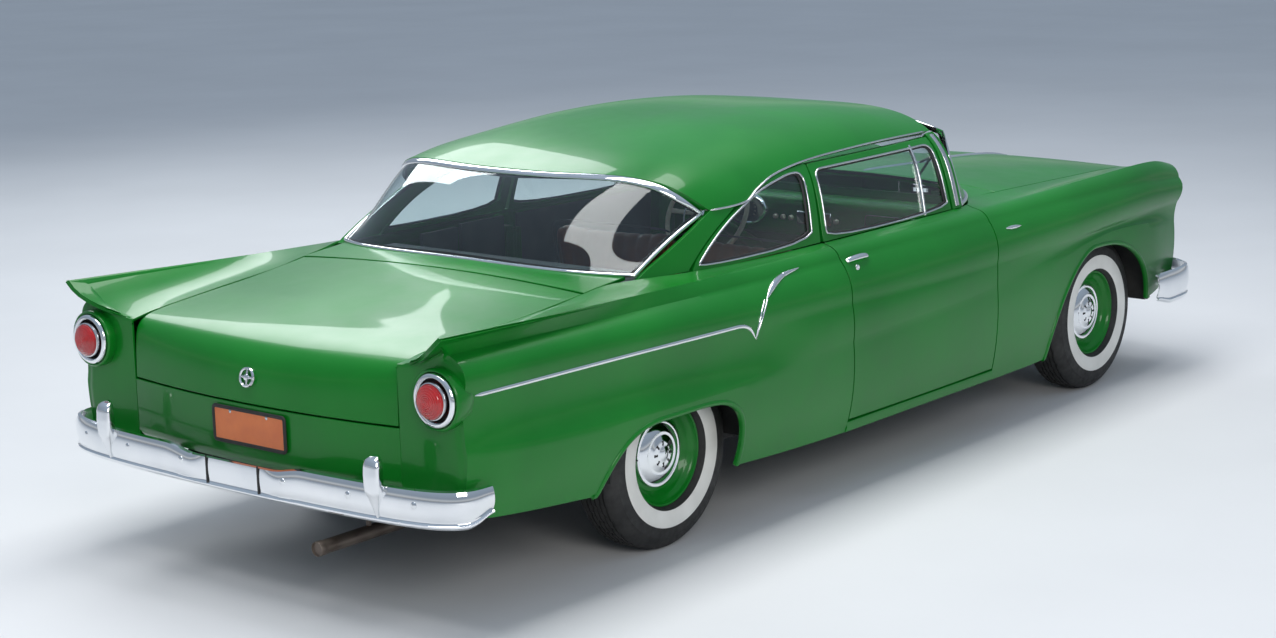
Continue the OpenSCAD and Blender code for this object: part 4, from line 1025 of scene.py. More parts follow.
def blade(path, facing, low, high, face, lip, hollow, end_slant):
    """A bumper blade. face and lip are how far the bowed face and the rolled lower lip stand out; hollow is
    how far the middle of the car sinks back; end_slant raises the lower corner at the wrapped end."""
    path = path * [KX, KY]
    # Cubic through the plan path, even along its length, mirrored to the other side
    run = np.concatenate([[0], np.cumsum(np.linalg.norm(np.diff(path, axis=0), axis=1))])
    at = np.linspace(0, run[-1], 110)
    plan = np.stack([curve(np.stack([run, path[:, k]], -1), at) for k in range(2)], -1)
    plan = np.concatenate([(plan * [-1, 1])[:0:-1], plan])
    along = unit(np.gradient(plan, axis=0))
    out = np.stack([along[:, 1], -along[:, 0]], -1)
    out = np.where((out[:, 1:] * facing < 0) & (np.abs(out[:, 1:]) > 0.05), -out, out)
    out = np.where((np.abs(out[:, 1:]) <= 0.05) & (out[:, :1] * plan[:, :1] < 0), -out, out)
    x = np.abs(plan[:, 0]) / KX
    raised = smooth((x - 128) / 105)
    end = smooth((np.abs(np.arange(len(plan)) - (len(plan) - 1) / 2) / (len(plan) / 2) - 0.9) / 0.1)
    t = np.array([0, 0.02, 0.06, 0.11, 0.15, 0.18, 0.21, 0.26, 0.34, 0.45, 0.58, 0.72, 0.84, 0.92, 0.97,
                  1.0])
    lower = lip * np.exp(-((t - 0.085) / 0.065) ** 2)
    upper = face * np.sin(np.clip((t - 0.17) / 0.83, 0, 1) * math.pi) ** 0.55
    offset = lower[None] + upper[None] * (1 - hollow * (1 - raised))[:, None] - 8 * (t > 0.99)
    top = high - 22 * (1 - smooth((x - 180) / 160))
    z = lerp((low + end_slant * end)[:, None], top[:, None], t[None]) * KZ
    points = np.stack([plan[:, :1] + out[:, :1] * offset, plan[:, 1:] + out[:, 1:] * offset, z], -1)
    return points, plan, out


def plan_at(plan, x):
    half = plan[plan[:, 0] >= -1e-6]
    order = np.argsort(half[:, 0])
    return np.interp(x, half[order, 0], half[order, 1])


rear_points, rear_plan, _ = blade(REAR_PATH, 1, 380, 504, 13, 12, 0.75, 34)
front_points, front_plan, _ = blade(FRONT_PATH, -1, 322, 468, 13, 11, 0.3, 26)
ready(shell("rear_bumper_blade", rear_points, BUMPER_SKIN, (0, 1, 0), CHROME, 1.5), "body", "bright_metal",
      "rear_bumper")
ready(shell("front_bumper_blade", front_points, BUMPER_SKIN, (0, -1, 0), CHROME, 1.5), "body",
      "bright_metal", "front_bumper")


def guard(y_face, sign, top, low, half_wide, reach):
    """An upright guard: a square-shouldered cap that narrows down to a point on the blade's lip."""
    heights = np.array([0, 0.02, 0.06, 0.14, 0.3, 0.45, 0.55, 0.62, 0.72, 0.85, 1.0])
    wide = np.array([0.10, 0.55, 0.82, 0.97, 1.0, 0.97, 0.9, 0.72, 0.52, 0.28, 0.06])
    deep = np.array([0.10, 0.5, 0.78, 0.95, 1.0, 0.99, 0.95, 0.8, 0.62, 0.42, 0.2])
    h = np.linspace(0, 1, 46)
    w, d = np.interp(h, heights, wide) * half_wide, np.interp(h, heights, deep) * reach
    a = np.linspace(0, 2 * math.pi, 40, endpoint=False)
    squarish = 2 / 3.2
    cx, cy = [np.sign(v) * np.abs(v) ** squarish for v in (np.cos(a), np.sin(a))]
    z = lerp(top, low, h) * KZ
    x = w[:, None] * cx[None]
    y = y_face + sign * (d[:, None] * (0.5 + 0.5 * cy[None]) - 4)
    points = np.stack(np.broadcast_arrays(x, y, z[:, None]), -1)
    return points.reshape(-1, 3), capped(len(h), len(a))


rear_guard_x, front_guard_x = 655 * KX, 430 * KX
rear_face = plan_at(rear_plan, rear_guard_x)
front_face = plan_at(front_plan, front_guard_x)
rear_guard = moved(guard(rear_face, 1, 598, 384, 34, CAD_HIGH.y / MM - rear_face + 4), (rear_guard_x, 0, 0))
front_guard = moved(guard(front_face, -1, 530, 330, 34, front_face + 4 - CAD_LOW.y / MM),
                    (front_guard_x, 0, 0))
pair("rear_bumper_guard", rear_guard, CHROME, "body", "bright_metal")
pair("front_bumper_guard", front_guard, CHROME, "body", "bright_metal")
# Dark joints where the raised sections meet the middle of the rear blade
joint_z = np.linspace(386, 486, 14) * KZ
joint_line = np.stack([np.full(14, 126 * KX), np.full(14, plan_at(rear_plan, 126 * KX) + 5), joint_z], -1)
pair("rear_bumper_joint", sweep(joint_line, (0, 1, 0), half_round(5, 3)), SEAL, "body", "black_steel")
bracket_rear = join(block((405, 2285 * KY, 396), (465, 2537 * KY, 414)),
                    block((425, 2290 * KY, 380), (445, 2450 * KY, 400)))
bracket_front = join(block((405, -2524 * KY, 345), (465, -2290 * KY, 363)),
                     block((420, -2500 * KY, 362), (450, -2291 * KY, 380)))
pair("rear_bumper_bracket", bracket_rear, BLACK_STEEL, "body", "black_steel", bevel=3)
pair("front_bumper_bracket", bracket_front, BLACK_STEEL, "body", "black_steel", bevel=3)
BOLT_REACH = 11
bolts = []
for x in (250, 540, 800):
    for path_plan, sign, height in ((rear_plan, 1, 455), (front_plan, -1, 410)):
        face = plan_at(path_plan, x * KX) + sign * BOLT_REACH
        bolt = turned([(-4, 0.1), (-4, 13), (2, 12), (4.5, 8), (5.5, 0.1)], 24, axis=1)
        if sign < 0:
            bolt = (bolt[0] * [1, -1, 1], bolt[1])
        bolts.append(moved(bolt, (x * KX, face, height * KZ)))
pair("bumper_bolts", join(*bolts), CHROME, "body", "bright_metal")


def round_rect(centre, half_wide, half_high, radius, count=140):
    """A closed path facing Y: a rectangle with round corners."""
    points = []
    for sx, sz, turn in ((1, 1, 0), (-1, 1, 1), (-1, -1, 2), (1, -1, 3)):
        for angle in np.linspace(turn, turn + 1, 9) * math.pi / 2:
            points.append((sx * (half_wide - radius) + radius * math.cos(angle), 0,
                           sz * (half_high - radius) + radius * math.sin(angle)))
    return resample(np.array(points) + np.asarray(centre, float), count, True)


# ---- Lamps, plate and ornaments ----
lamp_low, lamp_high = box("taillights")
lamp_z = (lamp_low[2] + lamp_high[2]) / 2
lamp_r = (lamp_high[2] - lamp_low[2]) / 2
lamp_x = lamp_high[0] - lamp_r
lamp_y = lamp_low[1]
at_lamp = (lamp_x, lamp_y, lamp_z)
# Body-coloured pod, from the fender's end out to the rim
pod = turned([(-60, lamp_r * 0.80), (-40, lamp_r * 0.93), (0, lamp_r * 0.995), (14, lamp_r),
              (24, lamp_r), (30, lamp_r - 2), (33, lamp_r - 6), (31, lamp_r - 10), (10, lamp_r - 12),
              (-60, lamp_r - 24)], 128, 1)
pair("tail_lamp_pod", moved(pod, at_lamp), PAINT, "body", "body_paint", ("taillights",), closed=True)
well = turned([(0, 0.1), (0, lamp_r - 13), (22, lamp_r - 13), (22, lamp_r - 20), (8, lamp_r - 26),
               (8, 0.1)], 128, 1)
pair("tail_lamp_well", moved(well, at_lamp), BLACK_STEEL, "body", "black_steel")
rim = turned([(20, lamp_r - 26), (26, lamp_r - 14), (32, lamp_r - 12), (38, lamp_r - 14),
              (43, lamp_r - 19), (44, lamp_r - 25), (40, lamp_r - 30), (30, lamp_r - 33),
              (20, lamp_r - 34)], 128, 1)
pair("tail_lamp_rim", moved(rim, at_lamp), CHROME, "body", "bright_metal")
inner_rim = turned([(20, 55), (44, 61), (50, 60), (52, 57), (50, 53), (30, 50), (20, 48)], 128, 1)
pair("tail_lamp_inner_ring", moved(inner_rim, at_lamp), STAINLESS, "body", "bright_metal")
lens_profile = [(20, 56)]
for k in range(24):
    r = 54 * (1 - k / 24)
    crown = 26 * math.sqrt(max(0, 1 - (r / 58) ** 2))
    lens_profile.append((48 + crown + (1.2 if k % 3 == 0 else 0), r))
lens_profile.append((74.5, 0.1))
pair("tail_lamp_lens", moved(turned(lens_profile, 128, 1), at_lamp), RED_LENS, "body", "red_lens",
     closed=False)

head_low, head_high = box("headlights")
head_z = (head_low[2] + head_high[2]) / 2
head_r = (head_high[2] - head_low[2]) / 2
head_x, head_y = head_high[0] - head_r, head_high[1]
at_head = (head_x, head_y, head_z)


def facing_front(profile):
    """A profile turned about the Y axis, with its outer end to the front."""
    points, faces = turned(profile, 96, 1)
    return points * [1, -1, 1], faces


bucket = facing_front([(0, 0.1), (0, head_r - 12), (6, head_r - 6), (4, 0.1)])
pair("headlight_bucket", moved(bucket, at_head), CHROME, "body", "bright_metal", ("headlights",))
head_rim = facing_front([(0, head_r - 8), (10, head_r - 3), (20, head_r), (25, head_r - 1),
                         (27, head_r - 5), (24, head_r - 10), (12, head_r - 12), (0, head_r - 14)])
pair("headlight_rim", moved(head_rim, at_head), CHROME, "body", "bright_metal")
lens = [(8, head_r - 13)]
lens += [(12 + 15 * math.sqrt(1 - (r / head_r) ** 2), r) for r in np.linspace(head_r - 12, 1, 20)]
lens += [(22, 1), (8, head_r - 16)]
pair("headlight_lens", moved(facing_front(lens), at_head), CLEAR_LENS, "body", "window_glass", closed=False)

plate_low, plate_high = box("licence_plate")
plate = block(plate_low + [4, 0, 4], plate_high - [4, 0, 4])
border = round_rect((0, plate_high[1] - 1, (plate_low[2] + plate_high[2]) / 2), plate_high[0] - 5,
                    (plate_high[2] - plate_low[2]) / 2 - 5, 10)
ready(build("licence_plate_blank", *plate, PLATE, bevel=2), "body", "plate", "licence_plate")
plate_frame = sweep(border, (0, 1, 0), disc(5) * [1.4, 1.0], loop=True)
ready(build("licence_plate_frame", *plate_frame, BLACK_STEEL), "body", "black_steel")
screws = join(*[moved(turned([(-3, 0.1), (-3, 7), (1, 6), (3, 3), (3.4, 0.1)], 20, 1),
                      (x, plate_high[1] + 0.5, plate_high[2] - 16)) for x in (-89, 89)])
ready(build("licence_plate_screws", *screws, STAINLESS), "body", "bright_metal")

# Round deck lid ornament that covers the lock: a ring, a dish and a plain four-point star
orn_t = 0.9485
orn_y = float(curve(DECK_CENTRE, orn_t, 1)) + 5
orn = (0, orn_y, 749 * KZ)
ornament = join(turned([(-6, 30), (2, 35), (7, 33), (8, 29), (5, 26), (-6, 25)], 72, 1),
                turned([(-4, 0.1), (2, 12), (8, 10), (10, 5), (10.5, 0.1)], 48, 1),
                *[sweep([(0, 3, 0), (math.sin(a) * 28, 4, math.cos(a) * 28)], (0, 1, 0), disc(6) * [1, 0.6],
                        np.array([1.0, 0.4])) for a in (0, math.pi / 2, math.pi, 3 * math.pi / 2)])
tilt = Matrix.Rotation(math.radians(11), 3, "X")
ready(build("deck_ornament", *moved(ornament, orn, tilt), CHROME), "trunk_lid", "bright_metal")

# Small round mirror on the left door, wipers on the cowl, and a bright bead along the hood's middle
mirror_place = np.array([872 * KX, -520 * KY, 985 * KZ])
head = turned([(-14, 0.1), (-13, 24), (-6, 42), (4, 52), (9, 53), (11, 50), (9, 47), (9, 0.1)], 64, 1)
stalk = sweep(resample(rounded([(858 * KX, -512 * KY, 932 * KZ), (868 * KX, -514 * KY, 952 * KZ),
                                (872 * KX, -520 * KY, 985 * KZ)], 2, False), 16), (0, 1, 0), disc(7, 14))
foot = moved(turned([(-6, 0.1), (-4, 22), (4, 18), (9, 9), (10, 0.1)], 32, 2),
             (858 * KX, -512 * KY, 934 * KZ))
mirror = join(moved(head, mirror_place), stalk, foot)
ready(build("door_mirror", *mirror, CHROME), "left_door", "bright_metal")
for side_name, x0, x1 in (("left", 300, 60), ("right", -330, -570)):
    tip = windshield_point(x1 / 800, 0.42) + [0, -12, 12]
    pivot = windshield_point(x0 / 760, 0.0) + [0, -26, 12]
    middle = windshield_point((x0 + x1) / 2 / 780, 0.22) + [0, -16, 16]
    arm = sweep(resample(rounded([pivot, middle, tip], 2, False), 30), (0, -0.8, 0.6),
                disc(4, 10) * [1.4, 0.8])
    u0, u1 = x1 / 800 - 0.12, x1 / 800 + 0.16
    us = np.linspace(u0, u1, 30)
    rubber_line = windshield_point(us, lerp(0.52, 0.26, (us - u0) / (u1 - u0)))
    strip_part = sweep(rubber_line + [0, -5, 5], (0, -0.8, 0.6), half_round(7, 8, sink=6))
    base = moved(turned([(-14, 0.1), (-14, 15), (4, 13), (10, 6), (11, 0.1)], 32, 2), pivot + [0, 6, -4])
    ready(build("wiper_" + side_name, *join(arm, strip_part, base), BLACK_STEEL), "body", "black_steel")
bead_y = np.linspace(-2350, -1110, 120) * KY
hood_bead = hood_point(bead_y, 0.0) + [0, 0, 1]
ready(build("hood_bead", *sweep(hood_bead, UP, half_round(20, 7), taper(120, 0.12, 0.04)), CHROME),
      "hood_lid", "bright_metal")

# ---- Grille: a rounded surround with five bars over a mesh of uprights ----
grille_box = box("grille")
gx, gy = grille_box[1][0], grille_box[0][1]
frame_loop = round_rect((0, gy + 14, (grille_low + grille_high) / 2), gx - 15,
                        (grille_high - grille_low) / 2 + 3, 45, 260)
surround = sweep(frame_loop, (0, -1, 0), half_round(26, 13, sink=6), loop=True)
bars = []
for k in range(1, 6):
    z = lerp(grille_low, grille_high, k / 6)
    bar = np.stack([np.linspace(-574, 574, 40) * KX, np.full(40, NOSE_Y - 3), np.full(40, z)], -1)
    bars.append(sweep(bar, (0, -1, 0), half_round(13, 10, sink=4)))
for k in range(-18, 19):
    upright = np.stack([np.full(8, k * 30 * KX), np.full(8, NOSE_Y + 1),
                        np.linspace(grille_low, grille_high, 8)], -1)
    bars.append(sweep(upright, (0, -1, 0), half_round(4, 6, sink=3)))
ready(build("grille_surround", *surround, CHROME), "body", "bright_metal", "grille")
ready(build("grille_bars", *join(*bars), STAINLESS), "body", "bright_metal")


# ---- Wheels and tyres ----
CAP_R = 122


def wheel_shape():
    r = RIM_R
    return turned([(-66, r - 26), (-66, r - 4), (-62, r), (-54, r - 2), (-48, r - 8), (-20, r - 14),
                   (14, r - 16), (44, r - 12), (54, r - 4), (60, r), (66, r - 1), (67.5, r - 5),
                   (65, r - 9), (56, r - 13), (50, r - 18), (44, r - 30), (38, r - 34), (30, r - 40),
                   (22, CAP_R + 14), (24, CAP_R + 4), (24, CAP_R - 14), (14, CAP_R - 30),
                   (6, CAP_R - 60), (6, 40), (-2, 40), (-4, CAP_R - 50), (8, CAP_R - 10), (18, r - 44),
                   (30, r - 36), (36, r - 24), (-60, r - 24)], 128)


def cap_shape():
    return turned([(16, CAP_R - 6), (24, CAP_R - 1), (30, CAP_R), (35, CAP_R - 3), (36, CAP_R - 9),
                   (34, CAP_R - 15), (38, CAP_R - 22), (44, CAP_R - 34), (47, CAP_R - 44),
                   (45, CAP_R - 52), (46, CAP_R - 58), (52, CAP_R - 72), (55, CAP_R - 82),
                   (54, CAP_R - 88), (57, 22), (60, 14), (61, 0.1)],
                   128)


def tyre_shape():
    """A closed section turned about the axle. Five ribs are parted by grooves and cut across into blocks."""
    half, r0 = TYRE_W / 2, RIM_R + 2
    r1 = TYRE_R
    side_half = [(half - 30, r0 - 4), (half - 18, r0), (half - 10, r0 + 6), (half - 6, r0 + 8),
                 (half - 3, r0 + 18), (half - 1, r0 + 34), (half - 0.5, r0 + 52), (half - 1, r0 + 66),
                 (half - 1.5, r0 + 68), (half - 3, r0 + 80), (half - 7, r1 - 46), (half - 9, r1 - 44),
                 (half - 12, r1 - 36), (half - 18, r1 - 24), (half - 26, r1 - 14), (half - 36, r1 - 6),
                 (half - 44, r1 - 3)]
    tread = []
    edge = half - 48
    grooves = 5
    for k in range(grooves):
        a, b = lerp(edge, -edge, k / grooves), lerp(edge, -edge, (k + 1) / grooves)
        crown_a = r1 - 2.5 * (a / edge) ** 2
        crown_b = r1 - 2.5 * (b / edge) ** 2
        tread += [(a - 2.2, crown_a - 8), (a - 3, crown_a), (b + 3, crown_b), (b + 2.2, crown_b - 8)]
    profile = side_half + tread + [(-a, r) for a, r in side_half[::-1]]
    profile = np.array(profile, float)
    count = 192
    a = np.linspace(0, 2 * math.pi, count, endpoint=False)
    radius = np.repeat(profile[:, 1:], count, 1)
    on_rib = (np.abs(profile[:, 0]) < half - 40) & (profile[:, 1] > r1 - 6)
    shift = (np.round(profile[:, 0] / 30)).astype(int) % 2
    cut = ((np.arange(count)[None] + 3 * shift[:, None]) % 6) == 0
    radius = np.where(on_rib[:, None] & cut, radius - 5, radius)
    points = np.stack([np.repeat(profile[:, :1], count, 1), radius * np.cos(a), radius * np.sin(a)], -1)
    return points.reshape(-1, 3), quads(len(profile), count, wrap=True)


wheel_part, cap_part, tyre_part = wheel_shape(), cap_shape(), tyre_shape()
# Dark inlay, a plain ring of bars round the cap's middle
inlay = join(*[moved(sweep([(0, 30, 0), (0, 47, 0)], (1, 0, 0), half_round(11, 2.5, 6, 1)), (53.0, 0, 0),
                     Matrix.Rotation(k * math.pi / 4, 3, "X")) for k in range(8)])
valve = sweep([(40, RIM_R - 34, 10), (62, RIM_R - 36, 10)], (0, 1, 0), disc(3.2, 10))
for end, axle, track in (("front", FRONT_AXLE, FRONT_X), ("rear", REAR_AXLE, REAR_X)):
    for hand, sign in HANDS:
        turn = np.diag([sign, 1.0, 1.0])
        place = (sign * track, axle, TYRE_R)
        label, body = f"{end}_{hand}", f"wheel_{end}_{hand}_body"
        for name, part, mat, slot, cad in (("wheel", wheel_part, PAINT, "wheel_paint", ("wheel_" + label,)),
                                           ("hub_cap", cap_part, CHROME, "bright_metal", ()),
                                           ("cap_inlay", inlay, SEAL, "black_steel", ()),
                                           ("valve", valve, SEAL, "black_steel", ())):
            ready(build(f"{name}_{label}", *moved(part, place, turn), mat, sharp=30), body, slot, *cad)
        tyre = build("tyre_" + label, *moved(tyre_part, place, turn), TYRE, sharp=35)
        tyre.data.materials.append(WHITEWALL)
        centre = Vector(place) * MM
        for face in tyre.data.polygons:
            c = face.center - centre
            far = math.hypot(c.y, c.z) / MM
            if c.x * sign > 0 and RIM_R + 9 < far < RIM_R + 69:
                face.material_index = 1
        ready(tyre, body, "tyre", "tyre_" + label)


# ---- Carried-over CAD nodes ----
nodes = frame["nodes"]
for name, mat in {"floor_pan": UNDERSEAL, "firewall": PAINT_INSIDE, "inner_panels": TRIM_CLOTH,
                  "wheelhouses": UNDERSEAL, "frame_rails": BLACK_STEEL, "engine": CAST_IRON,
                  "exhaust_and_tank": EXHAUST, "front_suspension": BLACK_STEEL, "rear_axle": BLACK_STEEL,
                  "knuckle_left": CAST_IRON, "knuckle_right": CAST_IRON}.items():
    mesh = nodes[name].data
    mesh.materials.clear()
    mesh.materials.append(mat)
    edge = nodes[name].modifiers.new("edge", "BEVEL")
    edge.width, edge.segments, edge.limit_method = 2 * MM, 2, "ANGLE"
    edge.angle_limit = math.radians(50)

PIPE_X, PIPE_Z, PIPE_END = -300 * KX, 216, 2460 * KY
tip = turned([(-20, 24.3), (-18, 25.6), (6, 25.6), (7.5, 24.6), (7, 22.6), (1.2, 22), (0.6, 0.1)], 48, 1)
ready(build("tailpipe_tip", *moved(tip, (PIPE_X, PIPE_END, PIPE_Z)), EXHAUST), "body", "black_steel")

# ---- Cabin ----
FLOOR_Z, SEAT_Z, REAR_Z = 300, box("front_seat")[0][2] + 86.7, 505.6
xs = np.unique(np.concatenate([np.linspace(-690, 690, 46), np.linspace(-135, 135, 31)])) * KX
ys = np.linspace(-945, 465, 36) * KY
carpet_x, carpet_y = np.meshgrid(xs, ys)
hump = 76 * (1 - smooth((np.abs(carpet_x) - 96) / 32))
carpet = np.stack([carpet_x, carpet_y, FLOOR_Z + 4 + hump], -1)
ready(shell("floor_carpet", carpet, CLOTH_SKIN, UP, CARPET, 0), "body", "trim_panel")
liner_v, liner_u = np.linspace(0.02, 0.98, 36), np.linspace(0.96, -0.96, 49)
liner = roof_point(liner_v[:, None], liner_u[None]) - [0, 0, LID_SKIN + CLOTH_SKIN]
ready(shell("headliner", liner, CLOTH_SKIN, UP, HEADLINER, 0), "body", "trim_panel")
shelf_top = np.stack(np.meshgrid(np.linspace(-646, 646, 40) * KX, np.linspace(1124, 1426, 20) * KY), -1)
shelf_top = np.concatenate([shelf_top, np.full(shelf_top.shape[:2] + (1,), 939.5 * KZ)], -1)
ready(shell("parcel_shelf_cloth", shelf_top, 2, UP, TRIM_CLOTH, 0), "body", "trim_panel")

for hand, sign in HANDS:
    keep = (door_inner[0, :, 2] > 330 * KZ) & (door_inner[0, :, 2] < 925 * KZ)
    card = door_inner[2:-2][:, keep] - [1.5, 0, 0]
    # Three pressed ribs along the card
    ribs = sum(np.exp(-((card[..., 2] - z) / 9) ** 2) for z in (470 * KZ, 520 * KZ, 570 * KZ))
    inner_face = card.copy()
    inner_face[..., 0] -= 5 + 4 * ribs
    ready(build("door_card_" + hand, *between(card * [sign, 1, 1], inner_face * [sign, 1, 1]), TRIM_CLOTH,
                sharp=50), hand + "_door", "trim_panel")
    x = float(card[..., 0].min()) - 6
    arm = rounded([(x + 2, -160 * KY, 660 * KZ), (x - 34, -120 * KY, 672 * KZ),
                   (x - 36, 120 * KY, 676 * KZ), (x + 2, 170 * KY, 664 * KZ)], 2, False)
    rest = sweep(resample(arm, 40), UP, disc(17, 20) * [1.0, 0.8])
    crank = join(moved(turned([(4, 16), (-6, 15), (-10, 9), (-10, 0.1)], 32, 0), (x, -330 * KY, 700 * KZ)),
                 sweep(resample([(x - 9, -330 * KY, 700 * KZ), (x - 20, -280 * KY, 640 * KZ)], 12),
                       (-1, 0, 0), disc(5, 12) * [1.5, 0.8]),
                 moved(turned([(0, 0.1), (-4, 10), (-22, 9), (-26, 0.1)], 24, 0),
                       (x - 16, -280 * KY, 640 * KZ)))
    turn = np.diag([sign, 1.0, 1.0])
    ready(build("door_armrest_" + hand, *moved(rest, turn=turn), TRIM_CLOTH), hand + "_door", "trim_panel")
    ready(build("window_crank_" + hand, *moved(crank, turn=turn), CHROME), hand + "_door", "bright_metal")

# Dashboard: a rolled pad over a painted face, with a round dial, a blank radio and a glove box lid
dash_outline = rounded([(-902, 738), (-760, 732), (-744, 752), (-752, 820), (-742, 872), (-752, 900),
                        (-800, 912), (-905, 908)], 2)
dash_x = np.linspace(-714, 714, 60) * KX
bow = 14 * (1 - (dash_x / (714 * KX)) ** 2)
dash_y, dash_z = dash_outline[None, :, 0], dash_outline[None, :, 1]
dash_rows = np.stack([np.repeat(dash_x[:, None], len(dash_outline), 1),
                      dash_y * KY + np.where(dash_y > -850, bow[:, None] - 14, 0),
                      np.broadcast_to(dash_z * KZ, (60, len(dash_outline)))], -1)
dash = (dash_rows.reshape(-1, 3), capped(60, len(dash_outline)))
ready(build("dashboard_panel", *dash, PAINT), "body", "body_paint", "dashboard")
ready(build("dashboard_lower_beam", *block((-676 * KX, -960 * KY, 762 * KZ),
                                           (676 * KX, -903 * KY, 818 * KZ)),
            PAINT_INSIDE, bevel=4), "body", "body_paint")
wheel_at = np.array([(box("steering_wheel")[0][0] + box("steering_wheel")[1][0]) / 2, -470 * KY, 850 * KZ])
COLUMN_TILT = Matrix.Rotation(math.radians(-62), 3, "X")
column = turned([(-400, 0.1), (-400, 26), (-120, 26), (-112, 30), (-60, 30), (-52, 25), (-50, 0.1)], 48, 2)
ready(build("steering_column", *moved(column, wheel_at, COLUMN_TILT), PAINT), "body", "body_paint")
binnacle = turned([(-30, 0.1), (-30, 92), (16, 96), (24, 92), (24, 84), (10, 80), (8, 0.1)], 72, 1)
dial_at = (wheel_at[0], -756 * KY, 838 * KZ)
ready(build("dial_hood", *moved((binnacle[0] * [1.25, 1, 0.72], binnacle[1]), dial_at), CHROME), "body",
      "bright_metal")
marks = [moved(sweep([(0, 0, 44), (0, 0, 52)], (0, 1, 0), half_round(2.5, 1, 4, 1)), (0, 10, 0),
               Matrix.Rotation(math.radians(a), 3, "Y")) for a in range(-120, 121, 20)]
needle = sweep([(0, 11, -6), (18, 11, 34)], (0, 1, 0), half_round(3, 1.5, 4, 1))
face = turned([(8, 0.1), (9.2, 60), (9.2, 0.1)], 72, 1)
ready(build("dial_plate", *moved(face, dial_at), DIAL), "body", "black_steel")
ready(build("dial_marks", *moved(join(needle, *marks), dial_at), IVORY), "body", "ivory_plastic")
glove = round_rect((-410 * KX, -746 * KY, 814 * KZ), 150 * KX, 44 * KZ, 14)
radio = block((-90 * KX, -752 * KY, 792 * KZ), (90 * KX, -736 * KY, 850 * KZ))
knobs = [moved(turned([(0, 12), (10, 11), (14, 8), (15, 0.1)], 28, 1), (x * KX, -740 * KY, 818 * KZ))
         for x in (-118, 118, 160, 200)]
ready(build("glove_box_trim", *sweep(glove, (0, 1, 0), half_round(5, 3), loop=True), STAINLESS), "body",
      "bright_metal")
ready(build("radio_blank", *radio, CHROME, bevel=5), "body", "bright_metal")
ready(build("dash_knobs", *join(*knobs), IVORY), "body", "ivory_plastic")

# Steering wheel: grip with finger dents, spokes, hub and horn ring
a = np.linspace(0, 2 * math.pi, 240, endpoint=False)
grip_path = np.stack([np.cos(a) * 202, np.sin(a) * 202, a * 0], -1)
grip = sweep(grip_path, UP, disc(11, 18), 1 - 0.055 * (0.5 + 0.5 * np.cos(a * 60)) ** 2, loop=True)
hub = turned([(-50, 0.1), (-50, 26), (-24, 28), (-20, 46), (-2, 48), (4, 40), (9, 26), (11, 0.1)], 64, 2)
spoke_line = ((38, -12), (90, -14), (150, -12), (200, -3))
spokes = [sweep([(math.cos(s) * r, math.sin(s) * r, z) for r, z in spoke_line],
                UP, disc(10, 14) * [1.1, 0.6], np.array([1.25, 1.0, 0.9, 1.05]))
          for s in (0, 2 * math.pi / 3, 4 * math.pi / 3)]
horn_a = np.linspace(math.radians(150), math.radians(390), 70)
horn = sweep(np.stack([np.cos(horn_a) * 118, np.sin(horn_a) * 118, np.full(70, -4.0)], -1), UP, disc(4, 10))
cap = turned([(3, 30), (10, 27), (14, 18), (16, 0.1)], 48, 2)
ready(build("steering_wheel_rim", *moved(join(grip, hub, *spokes), wheel_at, COLUMN_TILT), IVORY),
      "steering", "ivory_plastic", "steering_wheel")
ready(build("horn_ring", *moved(join(horn, cap), wheel_at, COLUMN_TILT), CHROME), "steering",
      "bright_metal")


